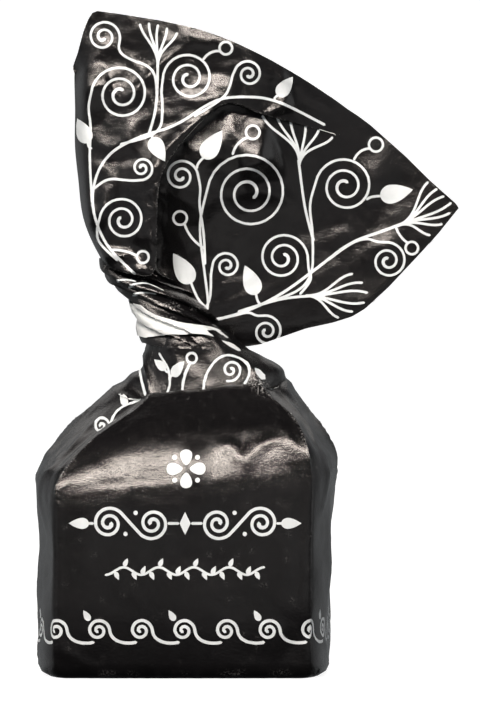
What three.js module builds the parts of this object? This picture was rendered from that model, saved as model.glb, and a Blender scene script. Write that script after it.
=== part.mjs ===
// A chocolate truffle in its twist wrapper: one shut pack, modelled as one solid.
// The wrapper is a sheet of thin printed paper rolled round the sweet, folded flat underneath,
// folded in over the top like a hood at the front and the back, twisted shut, and fanned out above the twist.
// Millimetres, +Z up. The origin is the middle of the flat base; the front panel faces -Y.
import * as THREE from "three";

// ---- driving sizes ----
const BASE_ROUNDING = 1.5; // how far the base edge turns in
const HOOD_TOP = 31.2; // top fold of the front and back panels
const HOOD_STEP = 1.3; // how far the hood stands proud of the side folds at its top
const HOOD_TILT = 0.13; // the hood's top fold climbs to the right, millimetres a millimetre
const NECK = { x: 0.6, z: 36.4, halfWidth: 5.2, halfDepth: 4.7, tilt: -0.3 }; // the twist at its tightest
const TWIST_PLEATS = 6, TWIST_PER_MM = 0.12, TWIST_DEPTH = 0.4; // spiral folds round the twist, radians a mm
const FAN_CENTRE = { x: 0.7, z: 38.0 }; // the fan spreads from here
const FAN_START = 5.6; // radius where the twist turns into the fan
const FAN_NECK_DEPTH = 4.2; // half depth of the fan at its foot
const FAN_EDGE_DEPTH = 3.7; // half depth of the fan's open edge, at its fullest
const FAN_THIN = 0.6; // half depth where the fan's two sides come together
const FAN_PLEAT = 0.45, FAN_PLEATS = 9; // soft radial pleats

// Outlines, each as [height or radius, size] pairs.
const LEFT_OUTLINE = [[0, -16.4], [8, -16.5], [15, -16.3], [22, -16.5], [24, -16.2], [26.2, -14.7], [30, -10.9], [33.3, -7.2]];
const RIGHT_OUTLINE = [[0, 15.6], [6, 15.7], [15, 15.8], [22, 16.4], [24, 16.6], [25.6, 15.9], [27.8, 13.9], [30, 12.1], [32, 10.6]];
const PANEL_PROFILE = [[0, 14.6], [4, 15.0], [12, 15.2], [19, 15.0], [22, 14.5], [25, 12.7], [28, 10.6], [31.2, 8.3], [34, 6.4]];
const HOOD_LEFT = [[20, -14.0], [22.1, -13.8], [25, -11.4], [28.3, -8.3], [31.2, -4.2]];
const HOOD_RIGHT = [[20, 13.4], [21.8, 13.6], [25.1, 12.7], [27.9, 11.2], [31.2, 8.0]];
// The fan's lower edge on the right, its left fold, and its open edge, as [radius, degrees] and [share, radius].
const FAN_RIGHT = [[5.6, -17], [7.5, -12], [10.7, -2], [13.7, 2.3], [17, 5], [22, 13], [28, 21], [32, 24.4]];
const FAN_LEFT = [[5.6, 163], [7.3, 154], [9.7, 149.4], [12.7, 143.4], [17.1, 135.5], [20.8, 128], [24, 123.3], [27.6, 118.5], [31.3, 115]];
const FAN_EDGE = [[0, 32.2], [0.12, 30.5], [0.31, 29.7], [0.44, 29.9], [0.585, 31.2], [0.67, 32.3], [0.79, 34.2], [0.87, 35.9], [0.915, 36.7], [0.945, 35.2], [1, 31.3]];
const EDGE_FULLNESS = [[0, 0], [0.15, 0.12], [0.4, 0.5], [0.62, 0.9], [0.78, 1], [0.92, 0.8], [1, 0.12]];

// ---- how finely the solid is cut ----
const HALF = 44; // points along the front side, and as many along the back
const FAN_RINGS = 15, NECK_RINGS = 12;

const mix = (a, b, t) => a + (b - a) * t;
const smooth = (a, b, x) => {
  const t = Math.min(1, Math.max(0, (x - a) / (b - a)));
  return t * t * (3 - 2 * t);
};

// A smooth curve through [x, y] pairs that never overshoots them.
function curve(pairs) {
  const n = pairs.length;
  const slope = pairs.slice(1).map(([x, y], i) => (y - pairs[i][1]) / (x - pairs[i][0]));
  const tangent = pairs.map((_, i) => {
    if (i === 0) return slope[0];
    if (i === n - 1) return slope[n - 2];
    const a = slope[i - 1], b = slope[i];
    return a * b <= 0 ? 0 : (2 * a * b) / (a + b);
  });
  return (x) => {
    if (x <= pairs[0][0]) return pairs[0][1];
    if (x >= pairs[n - 1][0]) return pairs[n - 1][1];
    let i = 0;
    while (x > pairs[i + 1][0]) i++;
    const h = pairs[i + 1][0] - pairs[i][0], t = (x - pairs[i][0]) / h;
    const t2 = t * t, t3 = t2 * t;
    return (
      (2 * t3 - 3 * t2 + 1) * pairs[i][1] + (t3 - 2 * t2 + t) * h * tangent[i] +
      (-2 * t3 + 3 * t2) * pairs[i + 1][1] + (t3 - t2) * h * tangent[i + 1]
    );
  };
}
const left = curve(LEFT_OUTLINE), right = curve(RIGHT_OUTLINE), depth = curve(PANEL_PROFILE);
const hoodLeft = curve(HOOD_LEFT), hoodRight = curve(HOOD_RIGHT);
const fanRight = curve(FAN_RIGHT), fanLeft = curve(FAN_LEFT), fanEdge = curve(FAN_EDGE), fullness = curve(EDGE_FULLNESS);

// Share of a half ring spent on each side fold; the flat panel has the rest.
const SIDE = 0.24, STEP = 0.02;

// One point of the pack's level outline: side -1 is the front and 1 the back, and f runs from the right end to the left.
function bodyPoint(z, f, side) {
  const step = HOOD_STEP * smooth(21.5, HOOD_TOP, z) * (1 - smooth(HOOD_TOP - 3, HOOD_TOP, z));
  const y = depth(z), back = side > 0;
  const folds = [hoodRight(z) * (back ? 0.97 : 1), hoodLeft(z) * (back ? 0.97 : 1)];
  const fold = f < 0.5 ? folds[0] : folds[1], out = f < 0.5 ? right(z) : left(z);
  const e = Math.min(f, 1 - f);
  if (e >= SIDE) {
    const g = (f - SIDE) / (1 - 2 * SIDE);
    return [mix(folds[0], folds[1], g), side * (y + 0.25 * Math.sin(Math.PI * g))];
  }
  const a = (e / (SIDE - STEP)) * (Math.PI / 2), foot = y - step;
  if (e > SIDE - STEP) return [fold, side * mix(foot, y, (e - SIDE + STEP) / STEP)];
  return [mix(fold, out, Math.cos(a) ** 0.85), side * foot * Math.sin(a) ** 0.9];
}

function bodyRing(z, inset = 0) {
  const ring = [];
  for (const side of [-1, 1])
    for (let i = 0; i < HALF; i++) {
      const f = side < 0 ? i / HALF : 1 - i / HALF;
      const [x, y] = bodyPoint(z, f, side);
      const r = Math.hypot(x, y), lift = HOOD_TILT * x * smooth(22, HOOD_TOP, z);
      ring.push(new THREE.Vector3(x * (1 - inset / r), y * (1 - inset / r), z + lift));
    }
  return ring;
}

function fanPoint(q, t, side) {
  const r = FAN_START + (fanEdge(q) - FAN_START) * t;
  const angle = mix(fanRight(r), fanLeft(r), q) * (Math.PI / 180);
  const open = smooth(0, 0.55, t);
  const foot = FAN_THIN + FAN_NECK_DEPTH * Math.sqrt(Math.max(0, 1 - (2 * q - 1) ** 2));
  const edge = FAN_THIN + FAN_EDGE_DEPTH * fullness(q);
  const pleat = FAN_PLEAT * Math.sin(Math.PI * t) ** 0.5 * Math.sin(q * FAN_PLEATS * Math.PI + side) * Math.min(1, 6 * q, 6 * (1 - q));
  const sway = 1.1 * open * Math.sin(2.2 * Math.PI * (q - 0.1)) * Math.min(1, 5 * (1 - q));
  return new THREE.Vector3(
    FAN_CENTRE.x + r * Math.cos(angle),
    sway + side * (mix(foot, edge, open) + pleat),
    FAN_CENTRE.z + r * Math.sin(angle),
  );
}

function fanRing(t) {
  const ring = [];
  for (const side of [-1, 1])
    for (let i = 0; i < HALF; i++) ring.push(fanPoint(side < 0 ? i / (HALF - 1) : 1 - i / (HALF - 1), t, side));
  return ring;
}

// The twist: a tight ring between the shoulders and the fan, with spiral folds.
function neckRing(top, fan, t) {
  const squeeze = top.map((p, i) => {
    const side = i < HALF ? -1 : 1, f = (i < HALF ? i : i - HALF) / HALF;
    const a = (side < 0 ? -f : -1 - f) * Math.PI;
    const x = Math.cos(a) * NECK.halfWidth;
    return new THREE.Vector3(NECK.x + x, Math.sin(a) * NECK.halfDepth, NECK.z + NECK.tilt * x);
  });
  return top.map((p, i) => {
    const l0 = 2 * (t - 0.5) * (t - 1), l1 = -4 * t * (t - 1), l2 = 2 * t * (t - 0.5);
    const v = new THREE.Vector3().addScaledVector(p, l0).addScaledVector(squeeze[i], l1).addScaledVector(fan[i], l2);
    const a = Math.atan2(v.y, v.x - NECK.x);
    const fold = TWIST_DEPTH * Math.sin(Math.PI * t) * Math.sin(TWIST_PLEATS * (a - TWIST_PER_MM * v.z));
    v.x += fold * Math.cos(a);
    v.y += fold * Math.sin(a);
    return v;
  });
}

const rings = [
  bodyRing(0, BASE_ROUNDING), bodyRing(0.4, BASE_ROUNDING * 0.4), bodyRing(1.3, BASE_ROUNDING * 0.07),
  ...[3.5, 8, 13, 17, 20, 22, 23.4, 24.8, 26.3, 27.8, 29.2, 30.4, HOOD_TOP].map((z) => bodyRing(z)),
];
const shoulder = bodyRing(HOOD_TOP).map((p) => new THREE.Vector3(p.x * 0.93, Math.sign(p.y) * Math.min(Math.abs(p.y), depth(HOOD_TOP) - HOOD_STEP), p.z + 0.5 + Math.max(0, 0.1 * p.x)));
const fanFoot = fanRing(0);
for (let i = 0; i < NECK_RINGS; i++) rings.push(neckRing(shoulder, fanFoot, i / NECK_RINGS));
for (let i = 0; i <= FAN_RINGS; i++) rings.push(fanRing(i / FAN_RINGS));

// Skin between the rings, a flat base, and a strip that closes the fan's open edge.
const N = 2 * HALF;
const points = rings.flat();
const base = points.push(new THREE.Vector3(0, 0, 0)) - 1;
const faces = [];
for (let r = 0; r + 1 < rings.length; r++)
  for (let i = 0; i < N; i++) {
    const a = r * N + i, b = r * N + ((i + 1) % N);
    faces.push(a, a + N, b, b, a + N, b + N);
  }
for (let i = 0; i < N; i++) faces.push(base, i, (i + 1) % N);
const edge = (rings.length - 1) * N;
for (let i = 0; i + 1 < HALF; i++) {
  const a = edge + i, b = edge + i + 1, c = edge + N - 1 - i, d = edge + N - 2 - i;
  faces.push(a, c, b, b, c, d);
}

const geometry = new THREE.BufferGeometry();
geometry.setAttribute("position", new THREE.Float32BufferAttribute(points.flatMap((p) => [p.x, p.y, p.z]), 3));
geometry.setIndex(faces);
geometry.computeVertexNormals();

const wrapperBlack = new THREE.MeshStandardMaterial({ color: 0x141315, roughness: 0.33, metalness: 0 });
const pack = new THREE.Mesh(geometry, wrapperBlack);
pack.name = "wrapped_truffle";

const part = new THREE.Group();
part.name = "truffle_in_twist_wrapper";
part.add(pack);

export default part;
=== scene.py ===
"""A chocolate truffle in its twist wrapper, standing on its flat base.

The wrapper is built as what it is: thin black paper with white scrolls printed on it and a white
reverse. It is cut flat, with its print, and each point is then carried to its place: round the
walls, over the hood and the side folds, into the neck, round the twist and out into the fan.
Lengths are in millimetres here and become metres when a piece is made.
"""
import math
import bmesh
import bpy
import numpy as np
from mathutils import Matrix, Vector, kdtree
from mathutils.geometry import delaunay_2d_cdt


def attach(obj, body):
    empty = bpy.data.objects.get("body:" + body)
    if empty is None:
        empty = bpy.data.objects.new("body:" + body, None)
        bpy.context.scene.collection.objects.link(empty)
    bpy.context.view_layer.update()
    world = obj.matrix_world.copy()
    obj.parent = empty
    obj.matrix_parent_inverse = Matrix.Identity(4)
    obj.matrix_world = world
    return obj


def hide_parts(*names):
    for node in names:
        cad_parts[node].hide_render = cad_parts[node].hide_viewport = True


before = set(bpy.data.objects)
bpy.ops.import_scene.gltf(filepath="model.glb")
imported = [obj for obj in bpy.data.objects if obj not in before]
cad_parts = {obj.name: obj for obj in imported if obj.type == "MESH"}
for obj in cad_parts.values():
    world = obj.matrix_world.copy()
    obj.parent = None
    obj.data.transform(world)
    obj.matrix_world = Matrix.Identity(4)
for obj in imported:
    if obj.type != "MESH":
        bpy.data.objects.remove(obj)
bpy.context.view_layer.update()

MM = 0.001
PAPER = 0.09  # thickness of the paper
INK_LINE = 0.27  # width of a printed line


# ------------------------------------------------------------------ small tools
def smooth(a, b, x):
    t = np.clip((np.asarray(x, float) - a) / (b - a), 0, 1)
    return t * t * (3 - 2 * t)


def mix(a, b, t):
    return a + (b - a) * t


def curve(pairs):
    """A smooth curve through (x, y) pairs that never overshoots them."""
    xs, ys = np.array(pairs, float).T
    d = np.diff(ys) / np.diff(xs)
    m = np.empty(len(xs))
    m[0], m[-1] = d[0], d[-1]
    a, b = d[:-1], d[1:]
    m[1:-1] = np.where(a * b > 0, 2 * a * b / np.where(a + b == 0, 1, a + b), 0)

    def f(x):
        x = np.clip(np.asarray(x, float), xs[0], xs[-1])
        i = np.clip(np.searchsorted(xs, x, side="right") - 1, 0, len(xs) - 2)
        h = xs[i + 1] - xs[i]
        t = (x - xs[i]) / h
        t2, t3 = t * t, t * t * t
        return ((2 * t3 - 3 * t2 + 1) * ys[i] + (t3 - 2 * t2 + t) * h * m[i]
                + (-2 * t3 + 3 * t2) * ys[i + 1] + (t3 - t2) * h * m[i + 1])

    return f


def noise(x, y, seed=0):
    """Smooth noise, about -0.7 to 0.7, with one bump per unit."""
    x, y = np.asarray(x, float), np.asarray(y, float)
    x0, y0 = np.floor(x), np.floor(y)
    fx, fy = x - x0, y - y0
    u, w = fx ** 3 * (fx * (fx * 6 - 15) + 10), fy ** 3 * (fy * (fy * 6 - 15) + 10)

    def corner(i, j):
        h = ((x0.astype(np.int64) + i) * 374761393 + (y0.astype(np.int64) + j) * 668265263 + seed * 69069) & 0x7FFFFFFF
        h = ((h ^ (h >> 13)) * 1274126177) & 0x7FFFFFFF
        a = ((h ^ (h >> 16)) & 4095) * (2 * np.pi / 4096)
        return np.cos(a) * (fx - i) + np.sin(a) * (fy - j)

    return mix(mix(corner(0, 0), corner(1, 0), u), mix(corner(0, 1), corner(1, 1), u), w)


def crumple(x, y, seed=0):
    """Paper that has been crushed and opened again: flat facets between sharp creases, about -0.5 to 0.5."""
    wx = x + 0.35 * noise(x * 1.3, y * 1.3, seed + 5)
    wy = y + 0.35 * noise(x * 1.3 + 9, y * 1.3 + 4, seed + 6)
    a = 1 - 2.2 * np.abs(noise(wx, wy, seed))
    b = 1 - 2.2 * np.abs(noise(wx * 2.1 + 3.7, wy * 2.1 - 1.2, seed + 1))
    c = 1 - 2.2 * np.abs(noise(wx * 4.3 + 1.1, wy * 4.3 + 7.9, seed + 2))
    return 0.55 * a + 0.3 * b + 0.14 * c - 0.5


def rounded(line, times=2):
    """Cut the corners of a bent line so that it turns smoothly."""
    p = np.array(line, float)
    for _ in range(times):
        q = np.empty((2 * (len(p) - 1), 2))
        q[0::2], q[1::2] = mix(p[:-1], p[1:], 0.25), mix(p[:-1], p[1:], 0.75)
        p = np.vstack([p[:1], q[1:-1], p[-1:]])
    return p


def along(x, y, line):
    """Distance to a bent line, the share of its length there, the outward normal and the side of it."""
    p = np.array(line, float)
    seg = np.diff(p, axis=0)
    size = np.hypot(seg[:, 0], seg[:, 1])
    acc = np.r_[0, np.cumsum(size)]
    best, share, side = np.full(np.shape(x), 1e9), np.zeros(np.shape(x)), np.zeros(np.shape(x))
    nx, ny = np.zeros(np.shape(x)), np.zeros(np.shape(x))
    for k in range(len(seg)):
        t = np.clip(((x - p[k, 0]) * seg[k, 0] + (y - p[k, 1]) * seg[k, 1]) / size[k] ** 2, 0, 1)
        dx, dy = x - p[k, 0] - t * seg[k, 0], y - p[k, 1] - t * seg[k, 1]
        d = np.hypot(dx, dy)
        m = d < best
        best = np.where(m, d, best)
        share = np.where(m, (acc[k] + t * size[k]) / acc[-1], share)
        side = np.where(m, np.sign(seg[k, 0] * dy - seg[k, 1] * dx), side)
        nx, ny = np.where(m, -seg[k, 1] / size[k], nx), np.where(m, seg[k, 0] / size[k], ny)
    return best, share, side, nx, ny


def ridge(x, y, line, width, height, sharp=False):
    """A raised fold along a bent line, fading towards its ends."""
    d, share, _, _, _ = along(x, y, rounded(line))
    fade = np.sin(np.pi * np.clip(share, 0.015, 0.985)) ** 0.6
    return height * fade * (np.exp(-d / width) if sharp else np.exp(-(d / width) ** 2))


def resample(line, step):
    p = np.array(line, float)
    size = np.hypot(*np.diff(p, axis=0).T)
    acc = np.r_[0, np.cumsum(size)]
    n = max(1, int(round(acc[-1] / step)))
    s = np.linspace(0, acc[-1], n + 1)
    return np.column_stack([np.interp(s, acc, p[:, 0]), np.interp(s, acc, p[:, 1])])


def offset_line(line, amount):
    p = np.array(line, float)
    d = np.gradient(p, axis=0)
    d /= np.maximum(1e-9, np.hypot(d[:, 0], d[:, 1]))[:, None]
    return p + np.column_stack([-d[:, 1], d[:, 0]]) * np.reshape(amount, (-1, 1))


# ------------------------------------------------------------------ print: plain scrolls, leaves, rings and sprays
def stroke(path, width=INK_LINE, tip=None, tail=None):
    """The outline of a printed line with round ends; tip and tail are its widths at the two ends."""
    p = resample(path, 0.24)
    n = len(p)
    t = np.linspace(0, 1, n)
    w = np.full(n, width / 2.0)
    if tail is not None:
        w = mix(tail / 2.0, w, smooth(-0.12, 0.3, t))
    if tip is not None:
        w = mix(w, tip / 2.0, smooth(0.9, 1, t))
    a, b = offset_line(p, w), offset_line(p, -w)
    d = p[-1] - p[-2]
    d = d / max(1e-9, np.hypot(*d)) * w[-1]
    e = p[0] - p[1]
    e = e / max(1e-9, np.hypot(*e)) * w[0]
    return np.vstack([b, [p[-1] + d], a[::-1], [p[0] + e]])


def bezier(a, b, c, d, n=24):
    t = np.linspace(0, 1, n)[:, None]
    a, b, c, d = (np.array(v, float) for v in (a, b, c, d))
    return (1 - t) ** 3 * a + 3 * t * (1 - t) ** 2 * b + 3 * t * t * (1 - t) * c + t ** 3 * d


def spiral(centre, radius, turns, start, hand=1, width=INK_LINE, tail=None, end=0.16):
    """A scroll that winds inwards from its outer end at angle start. tail is the bent line of its stem."""
    t = np.linspace(0, 1, int(26 * turns) + 2)
    a = math.radians(start) + hand * t * turns * 2 * math.pi
    r = radius * (1 - (1 - end) * t ** 0.94)
    p = np.column_stack([centre[0] + r * np.cos(a), centre[1] + r * np.sin(a)])
    if tail is not None:
        d = p[0] - p[1]
        d = d / np.hypot(*d)
        line = np.atleast_2d(np.array(tail, float))
        gap = np.hypot(*(line[-1] - p[0]))
        lead = rounded(np.vstack([line, p[0] + d * gap * 0.45, p[0]]), 4)
        p = np.vstack([lead[:-1], p])
    # the inner end swells into a small drop
    return [stroke(p, width, tip=width * 1.35)]


def leaf(base, angle, size=4.2, width=2.1, stem=1.4, bend=0.0, sway=0.25):
    """A drop-shaped leaf, round at its foot and pointed at its end, on a curved stem that starts at base."""
    a = math.radians(angle)
    d, n = np.array([math.cos(a), math.sin(a)]), np.array([-math.sin(a), math.cos(a)])
    base = np.array(base, float)
    foot = base + d * stem
    t = np.r_[0, 0.012, 0.045, np.linspace(0.1, 0.94, 12), 1]
    w = width * 0.5 * 1.04 * np.sqrt(np.clip(1 - ((t - 0.32) / 0.32) ** 2, 0, 1))
    w = np.where(t > 0.32, width * 0.5 * 1.04 * np.clip(1 - ((t - 0.32) / 0.68) ** 1.75, 0, 1), w)
    w[0] = w[-1] = 0.0
    mid = foot + np.outer(t * size, d) + np.outer(bend * t * t, n)
    left_, right_ = mid + np.outer(w, n), mid - np.outer(w, n)
    out = [np.vstack([right_[:-1], mid[-1:], left_[-2:0:-1]])]
    if stem > 0.3:
        out.append(stroke(bezier(base, base + d * stem * 0.3 + n * sway, foot - d * stem * 0.4 + n * sway * 0.6, foot + d * 0.3), INK_LINE))
    return out


def ringed(centre, radius=0.78, stem=None, width=INK_LINE, sway=0.5):
    """A small open ring, on a curved stem that starts at the point stem."""
    c = np.array(centre, float)
    a = np.linspace(0, math.pi, 14)
    out = []
    for k in (0, math.pi):
        out.append(stroke(c + radius * np.column_stack([np.cos(a + k), np.sin(a + k)]), width))
    if stem is not None:
        s = np.array(stem, float)
        d = (c - s) / np.hypot(*(c - s))
        n = np.array([-d[1], d[0]])
        e = c - d * radius
        out.append(stroke(bezier(s, mix(s, e, 0.35) + n * sway, mix(s, e, 0.75) + n * sway * 0.8, e), width))
    return out


def spray(origin, angle, ends, curl=0.12):
    """Lines that part from one foot which points towards angle; ends is where each line stops."""
    o = np.array(origin, float)
    d0 = np.array([math.cos(math.radians(angle)), math.sin(math.radians(angle))])
    paths = []
    for e in ends:
        e = np.array(e, float)
        gap = np.hypot(*(e - o))
        d = (e - o) / gap
        n = np.array([-d[1], d[0]])
        side = np.sign(d0[0] * d[1] - d0[1] * d[0])
        paths.append(bezier(o - d0 * 0.5, o + d0 * gap * 0.4, e - d * gap * 0.35 + n * side * curl * gap, e))
    # the foot fills the space between the lines up to where they part
    foot = [paths[0][:10]]
    for a, b in zip(paths[:-1], paths[1:]):
        foot.append([(a[6] + b[6]) / 2, b[9]])
    foot.append(paths[-1][8:0:-1])
    return [np.vstack(foot)] + [stroke(p, INK_LINE) for p in paths]


def stem(*points, width=INK_LINE, tip=None, tail=None):
    return [stroke(rounded(points, 3), width, tip, tail)]


def turned(shapes, centre, angle, grow=1.0, shift=(0, 0), mirror=False):
    c, s = math.cos(math.radians(angle)), math.sin(math.radians(angle))
    out = []
    for p in shapes:
        q = np.array(p, float) - centre
        if mirror:
            q[:, 0] *= -1
            q = q[::-1]
        out.append(np.column_stack([q[:, 0] * c - q[:, 1] * s, q[:, 0] * s + q[:, 1] * c]) * grow + centre + shift)
    return out


# ------------------------------------------------------------------ cutting a sheet, with its print, into small triangles
def inside(points, polygon):
    x, y = points[:, 0], points[:, 1]
    p, q = np.array(polygon, float), np.roll(np.array(polygon, float), -1, axis=0)
    hit = np.zeros(len(x), bool)
    for (x1, y1), (x2, y2) in zip(p, q):
        if y1 == y2:
            continue
        m = ((y1 > y) != (y2 > y)) & (x < (x2 - x1) * (y - y1) / (y2 - y1) + x1)
        hit ^= m
    return hit


def wound(points, polygon):
    """Whether an outline goes round each point, even where the outline crosses itself."""
    x, y = points[:, 0], points[:, 1]
    p, q = np.array(polygon, float), np.roll(np.array(polygon, float), -1, axis=0)
    turns = np.zeros(len(x), int)
    for (x1, y1), (x2, y2) in zip(p, q):
        across = (x2 - x1) * (y - y1) - (x - x1) * (y2 - y1)
        turns += ((y1 <= y) & (y2 > y) & (across > 0)).astype(int)
        turns -= ((y1 > y) & (y2 <= y) & (across < 0)).astype(int)
    return turns != 0


def cut(outline, ink=(), bare=(), spacing=0.5, fine=None, creases=(), seed=1):
    """Triangles of a flat sheet. ink and bare are outlines of white print and of bare paper. fine says
    where the triangles are half as large. creases are lines that triangle edges follow."""
    verts, edges, faces = [], [], []

    def add(points, close):
        first = len(verts)
        verts.extend((float(a), float(b)) for a, b in points)
        n = len(points)
        if close:
            faces.append(list(range(first, first + n)))
        else:
            edges.extend((first + i, first + i + 1) for i in range(n - 1))

    add(outline, True)
    lo, hi = np.min(outline, axis=0), np.max(outline, axis=0)
    for shapes in (ink, bare):
        for p in shapes:
            p = np.array(p, float)
            if np.any(p.max(axis=0) < lo) or np.any(p.min(axis=0) > hi):
                continue
            p = p[np.hypot(*(p - np.roll(p, 1, axis=0)).T) > 1e-4]
            add(np.vstack([p, p[:1]]), False)
    for line in creases:
        add(line, False)
    tree = kdtree.KDTree(len(verts))
    for i, (a, b) in enumerate(verts):
        tree.insert((a, b, 0), i)
    tree.balance()
    h = spacing / 2
    rows = np.arange(lo[1], hi[1], h * math.sqrt(3) / 2)
    rnd = np.random.RandomState(seed)
    grid = []
    for j, y in enumerate(rows):
        xs = np.arange(lo[0] + (h / 2 if j % 2 else 0), hi[0], h)
        keep = np.zeros(len(xs), bool)
        if j % 2 == 0:
            keep[(j // 2) % 2::2] = True
        grid.append(np.column_stack([xs, np.full(len(xs), y), keep]))
    grid = np.vstack(grid)
    wanted = grid[:, 2] > 0.5
    if fine is not None:
        wanted |= fine(grid[:, 0], grid[:, 1])
    grid = grid[wanted][:, :2]
    grid = grid + (rnd.rand(*grid.shape) - 0.5) * h * 0.25
    grid = grid[inside(grid, outline)]
    near = np.array([tree.find((a, b, 0))[2] for a, b in grid])
    grid = grid[near > h * 0.45]
    verts.extend((float(a), float(b)) for a, b in grid)
    out = delaunay_2d_cdt([Vector(v) for v in verts], edges, faces, 0, 1e-6, False)
    flat = np.array([(v[0], v[1]) for v in out[0]])
    tris = np.array([tuple(f) for f in out[2] if len(f) == 3])
    middle = flat[tris].mean(axis=1)
    keep = inside(middle, outline)
    tris, middle = tris[keep], middle[keep]
    kind = np.zeros(len(tris), int)
    for want, shapes in ((1, ink), (2, bare)):
        for p in shapes:
            p = np.array(p, float)
            m = np.flatnonzero(np.all((middle >= p.min(axis=0)) & (middle <= p.max(axis=0)), axis=1))
            if len(m):
                kind[m[wound(middle[m], p)]] = want
    used = np.unique(tris)
    where = np.full(len(flat), -1)
    where[used] = np.arange(len(used))
    return flat[used], where[tris], kind


def make(name, parts, wear, thickness=PAPER, weld=0.004, angle=38):
    """One paper piece from several cut sheets that have been carried to their places."""
    points = np.vstack([p for p, _, _ in parts]) * MM
    faces, kinds, first = [], [], 0
    for p, f, k in parts:
        faces.append(f + first)
        kinds.append(k)
        first += len(p)
    faces, kinds = np.vstack(faces), np.concatenate(kinds)
    mesh = bpy.data.meshes.new(name)
    mesh.from_pydata(points.tolist(), [], faces.tolist())
    mesh.polygons.foreach_set("material_index", kinds.astype(np.int32))
    mesh.attributes.new("wear", "FLOAT", "POINT").data.foreach_set("value", np.concatenate(wear).astype(np.float32))
    mesh.update()
    piece = bpy.data.objects.new(name, mesh)
    bpy.context.scene.collection.objects.link(piece)
    bm = bmesh.new()
    bm.from_mesh(mesh)
    bmesh.ops.remove_doubles(bm, verts=bm.verts, dist=weld * MM)
    bmesh.ops.dissolve_degenerate(bm, edges=bm.edges, dist=0.0008 * MM)
    bmesh.ops.triangulate(bm, faces=bm.faces)
    bm.to_mesh(mesh)
    bm.free()
    for m in (BLACK, INK_AND_PAINTED_HIGHLIGHT, REVERSE, REVERSE, REVERSE, REVERSE):
        mesh.materials.append(m)
    mod = piece.modifiers.new("paper", "SOLIDIFY")
    mod.thickness = thickness * MM
    mod.offset = -1
    mod.material_offset = 3
    mod.material_offset_rim = 3
    depsgraph = bpy.context.evaluated_depsgraph_get()
    solid = bpy.data.meshes.new_from_object(piece.evaluated_get(depsgraph))
    piece.modifiers.clear()
    piece.data = solid
    solid.name = name
    at = np.empty(len(solid.vertices) * 3, np.float32)
    solid.vertices.foreach_get("co", at)
    at[2::3] = np.maximum(at[2::3], 0.003 * MM)
    solid.vertices.foreach_set("co", at)
    solid.polygons.foreach_set("use_smooth", np.ones(len(solid.polygons), bool))
    solid.set_sharp_from_angle(angle=math.radians(angle))
    solid.update()
    return piece


# ------------------------------------------------------------------ materials
def socket(node, *names):
    for n in names:
        if n in node.inputs:
            return node.inputs[n]
    raise KeyError(names)


def material(name):
    m = bpy.data.materials.new(name)
    m.use_nodes = True
    return m, m.node_tree.nodes, m.node_tree.links, m.node_tree.nodes["Principled BSDF"]


def noise_node(nodes, links, source, scale, detail=3.0, rough=0.55, dist=0.0):
    n = nodes.new("ShaderNodeTexNoise")
    n.inputs["Scale"].default_value = scale
    n.inputs["Detail"].default_value = detail
    n.inputs["Roughness"].default_value = rough
    n.inputs["Distortion"].default_value = dist
    links.new(source, n.inputs["Vector"])
    return n.outputs["Fac"]


def to_range(nodes, links, value, a, b, lo, hi):
    n = nodes.new("ShaderNodeMapRange")
    n.inputs["From Min"].default_value, n.inputs["From Max"].default_value = a, b
    n.inputs["To Min"].default_value, n.inputs["To Max"].default_value = lo, hi
    links.new(value, n.inputs["Value"])
    return n.outputs["Result"]


def blend_colours(nodes, links, factor, a, b):
    n = nodes.new("ShaderNodeMix")
    n.data_type = "RGBA"
    links.new(factor, n.inputs["Factor"])
    for sock, value in ((n.inputs[6], a), (n.inputs[7], b)):
        if isinstance(value, tuple):
            sock.default_value = (*value, 1)
        else:
            links.new(value, sock)
    return n.outputs[2]


def times(nodes, links, a, b):
    n = nodes.new("ShaderNodeMath")
    n.operation = "MULTIPLY"
    links.new(a, n.inputs[0])
    if isinstance(b, float):
        n.inputs[1].default_value = b
    else:
        links.new(b, n.inputs[1])
    return n.outputs[0]


def bumps(nodes, links, bsdf, layers):
    """Stack of bump layers, each (height, distance in metres, strength)."""
    last = None
    for height, distance, strength in layers:
        n = nodes.new("ShaderNodeBump")
        n.inputs["Distance"].default_value = distance
        n.inputs["Strength"].default_value = strength
        links.new(height, n.inputs["Height"])
        if last is not None:
            links.new(last, n.inputs["Normal"])
        last = n.outputs["Normal"]
    links.new(last, bsdf.inputs["Normal"])


def black_paper():
    m, nodes, links, bsdf = material("wrapper_black")
    place = nodes.new("ShaderNodeTexCoord").outputs["Object"]
    cloud = noise_node(nodes, links, place, 140, 3, 0.6)
    grain = noise_node(nodes, links, place, 5200, 2, 0.6)
    fibre = noise_node(nodes, links, place, 1300, 4, 0.6, 0.6)
    dark = blend_colours(nodes, links, to_range(nodes, links, cloud, 0.3, 0.7, 0, 1), (0.0024, 0.0022, 0.0024), (0.0050, 0.0046, 0.0050))
    wear = nodes.new("ShaderNodeAttribute")
    wear.attribute_name = "wear"
    chips = noise_node(nodes, links, place, 4200, 3, 0.7)
    worn = times(nodes, links, wear.outputs["Fac"], to_range(nodes, links, chips, 0.5, 0.62, 0, 1))
    links.new(blend_colours(nodes, links, worn, dark, (0.42, 0.41, 0.4)), bsdf.inputs["Base Color"])
    links.new(to_range(nodes, links, noise_node(nodes, links, place, 900, 4, 0.65), 0.3, 0.7, 0.19, 0.26), bsdf.inputs["Roughness"])
    bsdf.inputs["IOR"].default_value = 1.45
    bsdf.inputs["Specular IOR Level"].default_value = 0.62
    bsdf.inputs["Specular Tint"].default_value = (1.0, 0.96, 0.93, 1)
    speck = noise_node(nodes, links, place, 3600, 3, 0.75)
    bumps(nodes, links, bsdf, [(fibre, 0.00003, 0.12), (speck, 0.00006, 0.42), (grain, 0.00004, 0.65)])
    return m


# the print's white, also used for one painted highlight stroke on the neck
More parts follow.
